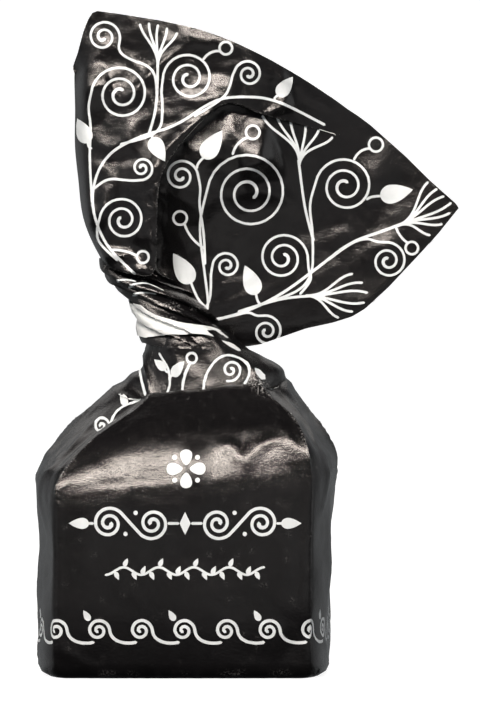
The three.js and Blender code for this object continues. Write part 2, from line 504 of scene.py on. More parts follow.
def white_ink_and_painted_highlight():
    m, nodes, links, bsdf = material("wrapper_white_print_and_painted_highlight")
    place = nodes.new("ShaderNodeTexCoord").outputs["Object"]
    cloud = noise_node(nodes, links, place, 500, 3, 0.6)
    grain = noise_node(nodes, links, place, 6000, 2, 0.6)
    links.new(blend_colours(nodes, links, to_range(nodes, links, cloud, 0.3, 0.7, 0, 1), (0.61, 0.64, 0.65), (0.69, 0.72, 0.73)), bsdf.inputs["Base Color"])
    links.new(to_range(nodes, links, cloud, 0.3, 0.7, 0.34, 0.46), bsdf.inputs["Roughness"])
    bumps(nodes, links, bsdf, [(grain, 0.00001, 0.5)])
    return m


def white_reverse():
    m, nodes, links, bsdf = material("wrapper_white_reverse")
    place = nodes.new("ShaderNodeTexCoord").outputs["Object"]
    fibre = noise_node(nodes, links, place, 2600, 4, 0.65, 1.2)
    cloud = noise_node(nodes, links, place, 260, 3, 0.6)
    links.new(blend_colours(nodes, links, to_range(nodes, links, cloud, 0.3, 0.7, 0, 1), (0.64, 0.66, 0.66), (0.76, 0.77, 0.76)), bsdf.inputs["Base Color"])
    links.new(to_range(nodes, links, fibre, 0.3, 0.7, 0.55, 0.75), bsdf.inputs["Roughness"])
    bumps(nodes, links, bsdf, [(fibre, 0.00004, 0.5)])
    return m


BLACK, INK_AND_PAINTED_HIGHLIGHT, REVERSE = black_paper(), white_ink_and_painted_highlight(), white_reverse()

# ------------------------------------------------------------------ the fan of paper above the twist
CENTRE = np.array([0.7, 38.0])
START = 5.6
ROLL = 0.5  # radius of the rolled fold down the fan's left side
fan_right = curve([[5.6, -17], [7.5, -12], [10.7, -2], [13.7, 2.3], [17, 5], [22, 13], [28, 21], [32, 24.4]])
fan_left = curve([[5.6, 163], [7.3, 154], [9.7, 149.4], [12.7, 143.4], [17.1, 135.5], [20.8, 128], [24, 123.3], [27.6, 118.5], [31.3, 115]])
fan_edge = curve([[0, 32.2], [0.12, 30.5], [0.31, 29.7], [0.44, 29.9], [0.585, 31.2], [0.67, 32.3], [0.79, 34.2], [0.87, 35.9], [0.915, 36.7], [0.945, 35.2], [1, 31.3]])
fullness = curve([[0, 0], [0.15, 0.12], [0.4, 0.5], [0.62, 0.9], [0.78, 1], [0.91, 0.9], [0.965, 0.75], [1, 0.12]])

TOP_EDGE = [(-9.96, 73.09), (-7.65, 72.77), (-3.02, 72.00), (0.94, 71.11), (3.58, 70.23), (5.67, 69.36), (7.54, 68.47), (9.29, 67.59), (10.84, 66.72), (12.38, 65.83), (13.80, 64.95), (15.12, 64.08), (16.45, 63.20), (17.66, 62.31)]
TOP_EDGE_RIGHT = [(17.66, 62.31), (18.98, 61.44), (20.18, 60.55), (21.18, 59.67), (22.16, 58.80), (23.16, 57.91), (24.14, 57.04), (25.02, 56.16), (25.91, 55.27), (26.79, 54.40), (27.77, 53.52), (28.77, 52.63), (29.75, 51.76)]
RIGHT_EDGE = [(29.98, 51.31), (29.54, 50.77), (27.77, 48.56), (25.68, 46.26), (23.71, 44.16), (22.27, 42.62), (20.96, 41.41), (19.64, 40.20), (18.21, 39.33), (16.11, 38.66), (13.14, 38.01), (10.62, 37.12), (8.09, 36.24), (6.66, 36.02)]
# The left part of the fan lies in front. This is the fold where it ends, from the left side round to where it runs out.
FOLD = rounded([(-9.29, 45.16), (-7.97, 44.38), (-5.67, 43.95), (-4.24, 43.73), (-3.46, 44.38), (-3.35, 47.13), (-3.25, 52.09), (-2.92, 55.05), (-0.94, 58.13), (1.81, 61.10), (3.35, 62.42), (4.57, 62.87), (5.78, 62.65), (7.65, 61.77), (12.27, 60.55), (16.77, 59.34)], 2)
FOLD_TIP = FOLD[-1]


def polar(p):
    d = p - CENTRE
    return np.hypot(d[:, 0], d[:, 1]), np.degrees(np.arctan2(d[:, 1], d[:, 0]))


def from_polar(r, a):
    return np.column_stack([CENTRE[0] + r * np.cos(np.radians(a)), CENTRE[1] + r * np.sin(np.radians(a))])


def left_line(r):
    """The outermost line of the rolled fold, on the flat sheet."""
    r = np.asarray(r, float)
    return from_polar(r, fan_left(r) + np.degrees((math.pi / 2 - 1) * ROLL / r))


FAN_FOLDS = [
    # creases with flat faces: (line from left to right, width of the face above, width of the face below, height)
    ([(-12.60, 64.08), (-10.62, 64.52), (-8.42, 65.39)], 2.7, 3.2, 0.98),
    ([(-7.75, 62.31), (-5.33, 64.73), (-2.81, 67.38), (-0.28, 68.92)], 0.65, 2.4, 0.26),
    ([(-4.67, 53.95), (-2.92, 57.04), (-0.94, 59.23), (1.71, 61.22)], 1.5, 0.9, 0.46),
    ([(-3.14, 69.80), (-0.28, 69.80), (2.81, 68.92)], 1.4, 2.0, 0.42),
    ([(4.34, 67.38), (6.76, 66.72), (9.62, 65.39)], 1.3, 1.6, 0.42),
    ([(8.74, 61.66), (10.06, 62.31), (11.82, 62.31)], 1.6, 0.8, 0.5),
    ([(5.67, 55.72), (7.65, 56.16), (10.29, 57.04)], 5.0, 3.0, 1.45),
    ([(4.12, 52.63), (6.76, 52.85), (9.62, 53.52)], 1.1, 2.4, 0.32),
    ([(1.71, 56.38), (3.02, 56.81), (4.34, 57.91)], 1.5, 1.2, 0.42),
    ([(18.86, 53.52), (21.07, 54.40), (23.48, 54.17)], 3.4, 3.5, 0.34),
    ([(19.52, 46.91), (21.95, 46.91), (24.14, 47.58)], 2.6, 3.5, 0.26),
    ([(-11.49, 46.26), (-8.86, 45.81), (-5.78, 46.48)], 1.1, 0.9, 0.38),
    ([(-10.62, 44.27), (-7.75, 43.84), (-4.46, 44.72)], 1.0, 0.8, 0.36),
    ([(-11.71, 51.09), (-10.18, 50.44), (-8.42, 50.88)], 1.6, 1.6, 0.4),
    ([(-6.21, 48.67), (-4.90, 47.80), (-3.58, 48.23)], 1.1, 1.2, 0.36),
    ([(-9.73, 58.35), (-7.75, 58.13), (-6.00, 59.02)], 1.1, 2.2, 0.3),
    ([(-9.73, 48.67), (-8.96, 51.31), (-8.42, 54.17)], 1.2, 0.8, 0.4),
    ([(-1.38, 63.20), (1.26, 63.20), (3.69, 63.85)], 1.3, 1.6, 0.36),
    ([(12.27, 46.91), (15.56, 47.58), (17.98, 49.12)], 1.6, 3.2, 0.3),
    ([(2.37, 48.67), (5.67, 47.80), (8.09, 48.23)], 1.2, 3.0, 0.22),
    ([(12.27, 63.85), (14.24, 63.20), (16.23, 62.31)], 0.9, 0.9, 0.26),
]
FAN_RIDGES = [
    # (line, width, height, sharp)
    ([(-7.75, 62.54), (-5.33, 64.95), (-2.81, 67.59), (0.39, 69.58)], 0.55, 0.34, True),
    ([(-10.18, 70.23), (-10.84, 66.94), (-11.28, 63.09), (-10.62, 60.34)], 1.5, 0.5, False),
    ([(-9.29, 55.38), (-9.40, 52.63), (-8.86, 48.79), (-8.42, 45.81)], 0.3, 0.16, True),
    ([(-2.58, 71.56), (1.26, 70.45), (5.12, 68.92), (8.96, 66.94)], 0.9, 0.4, False),
    ([(9.62, 61.88), (10.95, 63.20), (10.84, 65.39), (9.62, 66.94)], 0.6, 0.38, False),
    ([(5.67, 68.03), (8.09, 66.50), (11.17, 65.39), (14.24, 63.63)], 0.5, 0.3, True),
    ([(8.09, 62.31), (8.74, 59.67), (7.65, 56.48), (5.45, 54.17)], 1.6, 0.65, False),
    ([(5.22, 53.73), (7.65, 53.41), (10.51, 52.63), (12.27, 51.09)], 0.9, 0.35, False),
    ([(-0.06, 41.85), (3.69, 42.73), (8.09, 43.62)], 0.25, 0.12, True),
    ([(0.39, 43.51), (1.93, 44.72), (3.69, 45.81)], 0.25, 0.12, True),
    ([(21.95, 59.02), (20.62, 55.72), (19.52, 52.09)], 1.8, 0.35, False),
    ([(23.05, 52.09), (22.82, 49.55), (21.29, 45.81)], 1.5, 0.25, False),
    ([(2.58, 56.48), (3.25, 58.35), (4.57, 60.55)], 0.9, 0.3, False),
    ([(-6.66, 45.81), (-5.78, 48.23), (-4.01, 50.22)], 0.5, 0.3, True),
    ([(-11.05, 47.13), (-8.42, 46.48), (-4.01, 45.16)], 0.5, 0.3, True),
    ([(-7.54, 58.13), (-5.88, 60.55), (-3.35, 61.88)], 0.9, 0.25, False),
    ([(-11.49, 54.84), (-10.62, 52.09), (-10.84, 48.67)], 0.4, 0.2, True),
    ([(0.17, 64.52), (2.92, 65.17), (5.67, 64.52)], 0.8, 0.22, False),
]


def crease(x, z, line, upper, lower, height):
    """A fold with a flat face above it and one below, each width millimetres wide."""
    d, share, side, _, _ = along(x, z, rounded(line))
    width = np.where(side > 0, upper, lower)
    t = 1 - np.sqrt(d * d + 0.015) / width
    t = np.where(t > 0, t, 0)
    t = np.where(t < 0.25, 2 * t * t, t - 0.125) / 0.875
    return height * t * np.sin(np.pi * np.clip(share, 0.01, 0.99)) ** 0.5


def fan_place(p, layer):
    r, a = polar(p)
    lft, rgt = fan_left(r), fan_right(r)
    arc = np.radians(lft + np.degrees((math.pi / 2 - 1) * ROLL / r) - a) * r
    turn = np.clip(arc / ROLL, 0, math.pi / 2)
    share = np.sin(turn)
    a = np.where(arc < ROLL * math.pi / 2, lft - np.degrees(ROLL * (1 - np.cos(turn)) / r), a)
    q = np.clip((a - rgt) / (lft - rgt), 0, 1)
    t = np.clip((r - START) / (fan_edge(q) - START), 0, 1.05)
    opened = smooth(0, 0.55, t)
    foot = 0.6 + 4.2 * np.sqrt(np.clip(1 - (2 * q - 1) ** 2, 0, 1))
    rim = 0.6 + 3.7 * fullness(q)
    sway = 1.1 * opened * np.sin(2.2 * math.pi * (q - 0.1)) * np.minimum(1, 5 * (1 - q))
    pleats = np.sin(a / 9.5 + 1.4 * noise(a / 14, r / 9, 3)) * (1 - smooth(0.15, 0.75, t))
    out = from_polar(r, a)
    x, z = out[:, 0].copy(), out[:, 1].copy()
    wear = np.zeros(len(x))
    if layer == "back":
        half = mix(3.2 * np.sqrt(np.clip(1 - (2 * q - 1) ** 2, 0, 1)) + 0.5, mix(foot, rim, opened), smooth(4.5, 10, r))
        y = sway + half * share
        y += share * (0.5 * pleats + 0.55 * crumple(a / 22 + 31, r / 9, 41) * mix(1.0, 0.55, t))
        y += share * 0.10 * crumple(x / 2.4, z / 2.4, 44)
        return np.column_stack([x, y, z]), wear
    half = mix(foot, rim, opened)
    d, s, side, nx, nz = along(x, z, FOLD)
    tip = smooth(0, 0.2, 1 - s)
    busy = mix(1.0, 0.45, smooth(-2, 12, x))
    detail = 0.55 * crumple(a / 24, r / 9, 11) * mix(1.0, 0.7, t) * busy + 0.22 * crumple(x / 5, z / 5, 13) * busy + 0.06 * crumple(x / 2.2, z / 2.2, 14) * busy + 0.14 * pleats
    for line, width, height, sharp in FAN_RIDGES:
        detail = detail + ridge(x, z, line, width, height, sharp)
    for line, upper, lower, height in FAN_FOLDS:
        detail = detail + crease(x, z, line, upper, lower, height)
    if layer == "front":
        y = sway - half * share
        lift = mix(0.25, 1.15, smooth(0.12, 0.42, 1 - s)) * tip
        y -= share * lift * np.exp(-(d / 2.2) ** 2)
        y -= share * detail
        # the upper left leans back
        y += 0.1 * share * np.clip(z - 50, 0, None) * (1 - smooth(-5, 9, x))
        # the edge rolls under
        bend = 0.2 * tip + 0.001
        beyond = np.where(side < 0, d, -d) + bend
        turn = np.clip(beyond / bend, 0, math.pi)
        rolled = beyond > 0
        seen = np.where(beyond < math.pi * bend, bend * np.sin(turn), math.pi * bend - beyond)
        shift = np.where(rolled, seen - beyond, 0)
        x = x - nx * shift
        z = z - nz * shift
        y = y + np.where(rolled, bend * (1 - np.cos(turn)), 0)
        wear = 0.5 * np.exp(-((beyond - bend) / 0.12) ** 2) * (0.5 + noise(x * 0.8, z * 0.8, 71)) * tip
    else:
        inner = smooth(8, 21, r)
        y = sway - half * share * mix(0.22, 1, inner)
        gap = mix(0.3, 1.7, smooth(0.12, 0.45, 1 - s)) * tip
        y += gap * np.exp(-(d / 3.0) ** 2) * np.where(side > 0, 1, 1) + np.where(side > 0, 0.9 * tip * smooth(0, 1.2, d), 0)
        y -= share * detail * mix(0.6, 1, inner)
    return np.column_stack([x, y, z]), np.clip(wear, 0, 1)


def scrolls_front():
    """White print on the front of the fan, as outlines on the flat sheet."""
    out = []
    # one main stem runs from the neck to the corner, and everything else grows out of it
    out += stem((-3.14, 38.12), (4.12, 38.99), (9.62, 41.20), (14.69, 44.94), (17.98, 47.58), (21.95, 48.90), (24.14, 49.77), width=0.31)
    out += spray((23.71, 49.55), 24, [(26.57, 54.17), (27.55, 53.41), (28.32, 52.63), (29.09, 51.87), (28.98, 50.77), (28.11, 49.55), (26.79, 48.34)], 0.1)
    out += spiral((6.76, 52.97), 4.6, 2.6, 176, -1, tail=[(-2.04, 38.34), (2.58, 38.77), (1.81, 44.72)])
    out += spiral((17.43, 53.73), 3.3, 2.3, 174, -1, tail=[(8.09, 40.65), (13.80, 42.52), (13.92, 48.45)])
    out += spiral((10.51, 45.81), 2.85, 2.2, 352, 1, tail=[(12.48, 41.85), (13.80, 43.40)])
    out += spiral((22.16, 45.48), 2.1, 2.0, 100, -1, tail=[(15.56, 45.59), (18.21, 47.58), (19.96, 48.02)])
    out += spiral((8.74, 37.67), 1.8, 1.9, 104, -1, tail=[(1.26, 38.66), (5.22, 39.44), (6.76, 39.88)])
    out += spiral((4.34, 44.94), 1.6, 1.8, 182, -1, tail=[(1.26, 39.22), (2.48, 40.98), (2.58, 42.73)])
    out += spiral((-0.71, 54.84), 1.9, 1.9, 0, 1, tail=[(1.93, 45.16), (1.81, 48.67), (1.26, 51.76)])
    out += stem((13.92, 47.80), (12.93, 51.31), (12.27, 56.59), width=0.29)
    out += spray((12.38, 56.38), 84, [(8.30, 61.44), (9.85, 61.55), (11.38, 61.33), (13.04, 60.77), (14.57, 60.12), (16.00, 59.12)], 0.08)
    out += stem((5.67, 39.88), (10.51, 41.41), (14.03, 41.63), width=0.29)
    out += spray((13.59, 41.63), -2, [(18.21, 44.05), (19.30, 43.06), (19.86, 41.97), (19.52, 40.87), (18.21, 39.88), (16.66, 39.22)], 0.12)
    out += leaf((19.86, 52.30), 12, 3.7, 2.0, 1.5)
    out += leaf((8.09, 40.65), 112, 3.5, 1.9, 1.2)
    out += leaf((1.04, 55.72), 56, 3.7, 2.0, 1.3)
    out += leaf((2.15, 40.31), 122, 3.9, 2.1, 3.2, sway=0.5)
    out += ringed((20.84, 58.35), 0.78, (18.43, 56.70))
    out += ringed((24.80, 46.91), 0.7, (23.05, 49.23), sway=-0.3)
    out += ringed((-0.82, 50.22), 0.76, (1.81, 46.91))
    out += ringed((7.21, 59.67), 0.76, (5.00, 57.26))
    return out


def scrolls_left():
    """White print on the left part and along the top."""
    out = []
    out += stem((-5.78, 44.05), (-9.29, 47.35), (-10.84, 52.41), (-9.29, 57.04), (-5.33, 59.23), (-1.16, 60.34), (2.81, 63.20), (5.67, 63.63), (9.62, 63.41), (15.12, 60.55), width=0.29)
    out += spiral((-7.32, 63.85), 3.3, 2.3, 178, -1, tail=[(-10.51, 51.98), (-10.84, 57.04), (-10.62, 60.34)])
    out += spiral((0.17, 65.61), 2.9, 2.2, 184, -1, tail=[(-7.32, 58.35), (-2.92, 59.45), (-2.69, 62.54)])
    out += spiral((-7.09, 49.99), 2.6, 2.1, 176, -1, tail=[(-7.75, 45.59), (-9.96, 47.58)])
    out += spiral((-5.00, 55.72), 1.35, 1.7, 262, 1, tail=[(-10.51, 53.30), (-8.86, 54.62), (-6.88, 54.40)])
    out += spiral((-9.29, 70.23), 1.9, 1.9, 340, 1, tail=[(-3.35, 63.20), (-3.46, 66.72), (-6.66, 67.81)])
    out += spiral((6.76, 66.06), 1.6, 1.8, 168, -1, tail=[(0.82, 61.44), (4.12, 63.41), (4.79, 64.95)])
    out += stem((-4.24, 59.45), (-3.35, 62.31), (-3.25, 67.81), width=0.29)
    out += spray((-3.25, 67.38), 90, [(-5.22, 71.56), (-4.24, 71.67), (-3.25, 71.45), (-2.25, 71.11), (-1.16, 70.56)], 0.08)
    out += leaf((-4.24, 59.56), -60, 3.0, 1.7, 0.6)
    out += leaf((-10.62, 57.91), 116, 3.0, 1.7, 0.7)
    out += leaf((9.62, 63.20), 52, 2.7, 1.5, 0.6)
    out += ringed((-4.90, 45.92), 0.66, (-8.42, 46.70), sway=0.3)
    out += ringed((4.24, 68.92), 0.7, (1.71, 67.59))
    return out


def fan():
    step = 0.34
    rr = np.r_[np.arange(12.3, 31.55, 0.3), 31.6]
    left_side = left_line(rr)[::-1]
    _, s0, _, _, _ = along(FOLD[:, 0], FOLD[:, 1], FOLD)
    tip = smooth(0, 0.2, 1 - s0)
    hem = offset_line(FOLD, -(tip * (0.2 * (math.pi - 1) + 0.3)))
    share_line = resample([FOLD_TIP, TOP_EDGE[-1]], 0.3)
    top = resample(TOP_EDGE, 0.35)[::-1]
    start = resample([TOP_EDGE[0], (-10.51, 72.88), (-10.95, 72.22), (-11.49, 70.89), (-12.15, 68.47), left_side[0]], 0.3)[1:-1]
    outline = np.vstack([left_side, resample(hem, 0.3)[1:-1], share_line[:-1], top, start])
    rows = [resample(offset_line(FOLD, -k * np.maximum(tip, 0.02)), 0.3)[2:-2] for k in (-0.25, -0.1, 0.05, 0.2, 0.35)]
    near_fold = lambda x, y: along(x, y, FOLD)[0] < 1.3
    flat, tris, kind = cut(outline, scrolls_left(), spacing=step, fine=near_fold, creases=rows, seed=3)
    where, wear = fan_place(flat, "front")
    parts = [(where, tris, kind)]
    worn = [wear]
    on_left = flat[np.abs(polar(flat)[1] - (fan_left(polar(flat)[0]) + np.degrees((math.pi / 2 - 1) * ROLL / polar(flat)[0]))) < 0.02]
    on_left = on_left[np.argsort(polar(on_left)[0])[::-1]]
    # the right part, tucked behind
    tucked = rounded([FOLD_TIP, (12.71, 61.88), (8.53, 64.52), (4.79, 66.28), (1.71, 65.61), (-1.59, 62.98), (-4.46, 59.67), (-6.88, 55.27), (-6.88, 49.34), (-5.78, 43.73), (-3.58, 41.63), (-1.38, 39.22), (1.71, 37.02), (5.12, 36.02), (6.66, 36.02)], 2)
    right = resample(RIGHT_EDGE, 0.35)[::-1]
    far = resample(TOP_EDGE_RIGHT + [RIGHT_EDGE[0]], 0.35)[::-1]
    outline = np.vstack([resample(tucked, 0.35)[:-1], right, far[1:], share_line[::-1][1:-1]])
    flat, tris, kind = cut(outline, scrolls_front(), spacing=step, fine=near_fold, seed=4)
    where, wear = fan_place(flat, "tucked")
    parts.append((where, tris, kind))
    worn.append(wear)
    # the back
    low = np.arange(4.4, 12.0, 0.3)[::-1]
    left_low = left_line(np.maximum(low, 5.6))
    left_low = from_polar(low, fan_left(low) + np.degrees((math.pi / 2 - 1) * ROLL / low))
    arc = from_polar(np.full(40, 4.4), np.linspace(fan_left(4.4), -17, 40))
    right_low = from_polar(np.arange(4.7, 9.0, 0.3), np.linspace(-17, 0, len(np.arange(4.7, 9.0, 0.3))))
    behind = resample(rounded([tuple(right_low[-1]), (10.62, 39.22), (15.56, 40.31), (19.09, 43.29), (22.71, 48.45), (25.25, 52.85)], 2), 0.4)[1:]
    top_back = resample(rounded([(25.25, 52.85), (23.27, 54.84), (20.18, 57.91), (15.12, 61.66), (9.29, 65.39), (3.58, 68.03), (-3.02, 70.02), (-7.54, 70.89), (-10.39, 69.36), tuple(on_left[0])], 1), 0.4)[1:-1]
    outline = np.vstack([on_left, left_low, arc[1:-1], right_low, behind, top_back])
    prints = turned(scrolls_front() + scrolls_left(), np.array((4.57, 53.73)), 8, 0.97, mirror=True)
    r, a = None, None
    kept = []
    for shape in prints:
        r, a = polar(shape)
        if np.all(np.radians(fan_left(r) - a) * r > 1.2):
            kept.append(shape)
    flat, tris, kind = cut(outline, kept, spacing=step * 1.15, fine=lambda x, y: np.hypot(x - CENTRE[0], y - CENTRE[1]) < 9, seed=5)
    where, wear = fan_place(flat, "back")
    parts.append((where, tris[:, ::-1], kind))
    worn.append(wear)
    return parts, worn


def find_on(place, targets, xs, ys, n=220):
    """Where on the flat sheet the front-view points (x, z) lie, from a table of carried points."""
    gx, gy = np.meshgrid(np.linspace(*xs, n), np.linspace(*ys, n))
    flat = np.column_stack([gx.ravel(), gy.ravel()])
    at = place(flat)
    out = []
    for x, z in targets:
        cost = (at[:, 0] - x) ** 2 + (at[:, 2] - z) ** 2 + 0.0006 * (at[:, 1] + 20)
        out.append(flat[np.argmin(cost)])
    return np.array(out)


# ------------------------------------------------------------------ the twist
TWIST = [
    # (left end, right end) in front view, half depth
    ((-4.34, 34.38), (6.99, 33.05), 4.5),
    ((-4.57, 35.70), (7.42, 33.94), 4.9),
    ((-4.79, 37.12), (6.76, 35.37), 5.0),
    ((-5.12, 38.55), (5.00, 37.02), 4.7),
    ((-5.55, 39.98), (3.14, 38.77), 4.4),
    ((-6.33, 41.30), (1.71, 40.65), 4.2),
    ((-7.42, 42.30), (0.28, 41.97), 4.0),
    ((-8.53, 43.29), (-1.59, 43.06), 3.7),
    ((-9.19, 44.49), (-3.14, 44.27), 3.2),
    ((-9.29, 45.81), (-3.58, 45.81), 2.6),
]
T_LEFT = np.array([a for a, _, _ in TWIST])
T_RIGHT = np.array([b for _, b, _ in TWIST])
T_MID = (T_LEFT + T_RIGHT) / 2
T_AT = np.r_[0, np.cumsum(np.hypot(*np.diff(T_MID, axis=0).T))]
T_CURVES = [curve(np.column_stack([T_AT, v])) for v in (T_LEFT[:, 0], T_LEFT[:, 1], T_RIGHT[:, 0], T_RIGHT[:, 1], [c for _, _, c in TWIST])]
T_AROUND = 4.6  # millimetres of sheet for each radian round the twist
PITCH = 0.35  # turn of the folds, radians a millimetre
EDGES = np.cumsum([0.0, 0.8, 1.25, 0.7, 1.1, 0.85])
EDGES = EDGES / (EDGES[-1] + 0.73) * 2 * math.pi
DEEP = [0.7, 0.85, 0.6, 0.8, 0.65, 0.75]
LIP = 0.09  # share of each fold that its step takes


def twist_at(p, height):
    """Carries the sheet round the twist, raised by height over its mean surface."""
    phi, length = p[:, 0] / T_AROUND, p[:, 1]
    lx, lz, rx, rz, deep = (c(length) for c in T_CURVES)
    cx, cz, ex, ez = (lx + rx) / 2, (lz + rz) / 2, (rx - lx) / 2, (rz - lz) / 2
    grow = 1 + (height - 0.25) / np.hypot(ex, ez)
    c, s = np.cos(phi), np.sin(phi)
    c2 = np.sign(c) * np.abs(c) ** 0.92
    return np.column_stack([cx + ex * c2 * grow, -deep * s * (1 + (height - 0.25) / deep), cz + ez * c2 * grow])


def ribbon_plain(p):
    return twist_at(p, 0.7)


def twist_height(p):
    """How far the spiral folds stand up at a point of the flat sheet."""
    phi, length = p[:, 0] / T_AROUND, p[:, 1]
    psi = np.mod(phi - PITCH * length + 0.25 * noise(phi * 0.9, length * 0.25, 8), 2 * math.pi)
    k = np.clip(np.searchsorted(EDGES, psi, side="right") - 1, 0, len(EDGES) - 1)
    lo, hi = EDGES[k], np.r_[EDGES[1:], 2 * math.pi][k]
    u = (hi - psi) / (hi - lo)
    height = np.array(DEEP)[k] * np.where(u < LIP, smooth(0, LIP, u), 1 - smooth(LIP, 1, u) * 0.9 - 0.1 * (u - LIP))
    return height * smooth(-0.5, 1.2, length) + 0.08 * crumple(phi * 1.4 - length * 0.45, length * 0.25, 21) + 0.015 * crumple(phi * 5, length * 1.2, 22)


def twist_place(p):
    return twist_at(p, twist_height(p))


def twist():
    lo_x, hi_x = -math.pi / 2 * T_AROUND, 1.5 * math.pi * T_AROUND
    top = T_AT[-1] - 0.02
    n = 100
    xs = np.linspace(lo_x, hi_x, n)
    ragged = 1.75 + 0.22 * noise(xs / 3.1, xs * 0, 31) + 0.12 * noise(xs / 1.1, xs * 0, 32)
    ragged[-1] = ragged[0]
    bottom = np.column_stack([xs, ragged])
    rise = np.linspace(0, 1, 40)
    left_ = np.column_stack([np.full(40, lo_x), mix(top, ragged[0], rise)])
    right_ = left_[::-1] + (hi_x - lo_x, 0)
    outline = np.vstack([bottom[:-1], right_[:-1], np.column_stack([xs[::-1], np.full(n, top)])[:-1], left_[:-1]])
    lines = []
    ys = np.linspace(0.1, top - 0.1, 40)
    for e0, e1 in zip(EDGES, np.r_[EDGES[1:], 2 * math.pi]):
        for e in (e0 + 0.001, e1 - LIP * (e1 - e0), e1 - 0.4 * LIP * (e1 - e0)):
            for turn in (-2, -1, 0, 1):
                phi = e + 2 * math.pi * turn + PITCH * ys
                m = (phi * T_AROUND > lo_x + 0.15) & (phi * T_AROUND < hi_x - 0.15) & (ys > 2.2)
                if m.sum() > 3:
                    lines.append(np.column_stack([phi * T_AROUND, ys])[m])
    span = (0.02 * T_AROUND, (math.pi - 0.02) * T_AROUND), (0.3, top)
    ink = []
    for line in ([(-6.43, 42.52), (-5.55, 43.06), (-4.24, 43.06), (-2.69, 42.30)], [(-6.00, 41.63), (-4.90, 42.08), (-3.58, 41.85)], [(-7.75, 43.17), (-6.88, 43.51), (-5.78, 43.29)]):
        ink += [stroke(rounded(find_on(twist_place, line, *span), 2), 0.27)]
    for k in range(4):
        x = (1.08 + 0.13 * k) * math.pi * T_AROUND
        ink += [stroke(rounded([(x, 5.0 + k % 2), (x + 0.7, 6.5), (x + 0.2, 8.5)], 2), 0.36)]
    flat, tris, kind = cut(outline, ink, spacing=0.34, creases=lines, seed=6)
    at = twist_place(flat)
    wear = 0.35 * smooth(0.1, 0.4, noise(flat[:, 0] * 0.7, flat[:, 1] * 0.7, 61))
    parts, worn = [(at, tris[:, ::-1], kind)], [wear]
    # a fold of the paper's bare reverse goes round the twist
    upper = find_on(ribbon_plain, [(6.54, 36.02), (5.45, 36.80), (4.34, 37.34), (3.25, 38.01), (2.15, 38.34), (0.82, 38.55), (-0.71, 38.77), (-2.04, 39.10), (-3.35, 39.55), (-4.34, 40.09), (-5.00, 40.54)], *span)
    lower = find_on(ribbon_plain, [(6.54, 35.26), (5.45, 35.59), (4.34, 36.24), (3.35, 36.91), (2.37, 37.34), (1.04, 37.45), (-0.49, 37.45), (-2.04, 37.34), (-3.35, 37.23), (-4.12, 37.12), (-4.57, 37.02)], *span)
    high, low = upper[-1, 1], lower[-1, 1]
    upper = np.vstack([upper, [(math.pi * T_AROUND * f, high + rise) for f, rise in ((1.0, 0.1), (1.12, 0.9), (1.28, 2.0), (1.44, 2.9), (1.56, 3.3), (1.62, 3.3))]])
    lower = np.vstack([lower, [(math.pi * T_AROUND * f, low + rise) for f, rise in ((1.0, 0.15), (1.12, 1.5), (1.28, 3.4), (1.44, 5.2), (1.56, 6.4), (1.62, 6.9))]])
    upper, lower = (line[np.argsort(line[:, 0])] for line in (upper, lower))
    top_of, foot_of = (curve(line[np.r_[True, np.diff(line[:, 0]) > 0.05]]) for line in (upper, lower))
    ends = max(upper[0, 0], lower[0, 0]), math.pi * T_AROUND * 1.62
    xs = np.linspace(*ends, 90)
    uneven = 0.14 * noise(xs / 1.7, xs * 0, 26) + 0.06 * noise(xs / 0.6, xs * 0, 27)
    outline = np.vstack([np.column_stack([xs, foot_of(xs) + uneven]), np.column_stack([xs, np.maximum(top_of(xs) - uneven[::-1] * 0.7, foot_of(xs) + uneven + 0.05)])[::-1]])
    flat, tris, kind = cut(outline, spacing=0.26, seed=8)
    share = np.clip((flat[:, 1] - foot_of(flat[:, 0])) / np.maximum(0.05, top_of(flat[:, 0]) - foot_of(flat[:, 0])), 0, 1)
    fade = smooth(ends[0], ends[0] + 0.8, flat[:, 0]) * (1 - smooth(ends[1] - 3.0, ends[1], flat[:, 0]))
    beneath = np.max([twist_height(flat + (step, 0)) for step in (-0.6, -0.4, -0.2, 0.0, 0.2, 0.4, 0.6)], axis=0)
    at_left = np.exp(-((flat[:, 0] / T_AROUND - math.pi) / 0.55) ** 2)
    swell = mix(-0.05, np.maximum(0.5 - 0.3 * at_left, beneath + 0.13), fade) + 0.12 * np.sin(math.pi * share) ** 0.6 * mix(0.4, 1, fade)
    swell += 0.12 * crumple(flat[:, 0] / 6, share * 1.1 + flat[:, 1] / 6, 23) + 0.04 * crumple(flat[:, 0] / 2.2, share * 2 + flat[:, 1] / 2.2, 24)
    swell -= 0.1 * np.exp(-((share - 0.36 - 0.1 * noise(flat[:, 0] / 4, flat[:, 0] * 0, 25)) / 0.09) ** 2) * smooth(0.2, 1, fade)
    parts.append((twist_at(flat, swell), tris[:, ::-1], np.full(len(tris), 2)))
    worn.append(np.zeros(len(flat)))
    return parts, worn


# ------------------------------------------------------------------ walls, hood, side folds, neck and the folded base
AROUND = 120.0  # millimetres of sheet round the walls
SIDE, STEP = 0.27, 0.016
BASE_ROUNDING = 1.2
HOOD_TOP = 31.2
wall_left = curve([[0, -16.4], [8, -16.5], [15, -16.3], [22, -16.5], [24, -16.2], [26.2, -14.7], [30, -10.9], [33.3, -7.2], [34.4, -4.9]])
wall_right = curve([[0, 15.6], [6, 15.7], [15, 15.8], [22, 16.4], [24, 16.6], [26.2, 15.8], [29, 13.7], [30.6, 12.6], [33, 11.2], [34.6, 10.0]])
panel_out = curve([[0, 14.6], [4, 15.0], [12, 15.2], [19, 15.08], [21.2, 14.87], [22.1, 14.62], [24.9, 13.62], [26, 13.0], [28.6, 10.85], [31.2, 8.4], [34, 6.4]])
panel_bent = curve([[0, 14.6], [4, 15.0], [12, 15.2], [19, 15.08], [22.4, 14.78], [23.1, 14.6], [23.8, 14.3], [26, 12.85], [28.6, 10.7], [31.2, 8.4], [34, 6.4]])
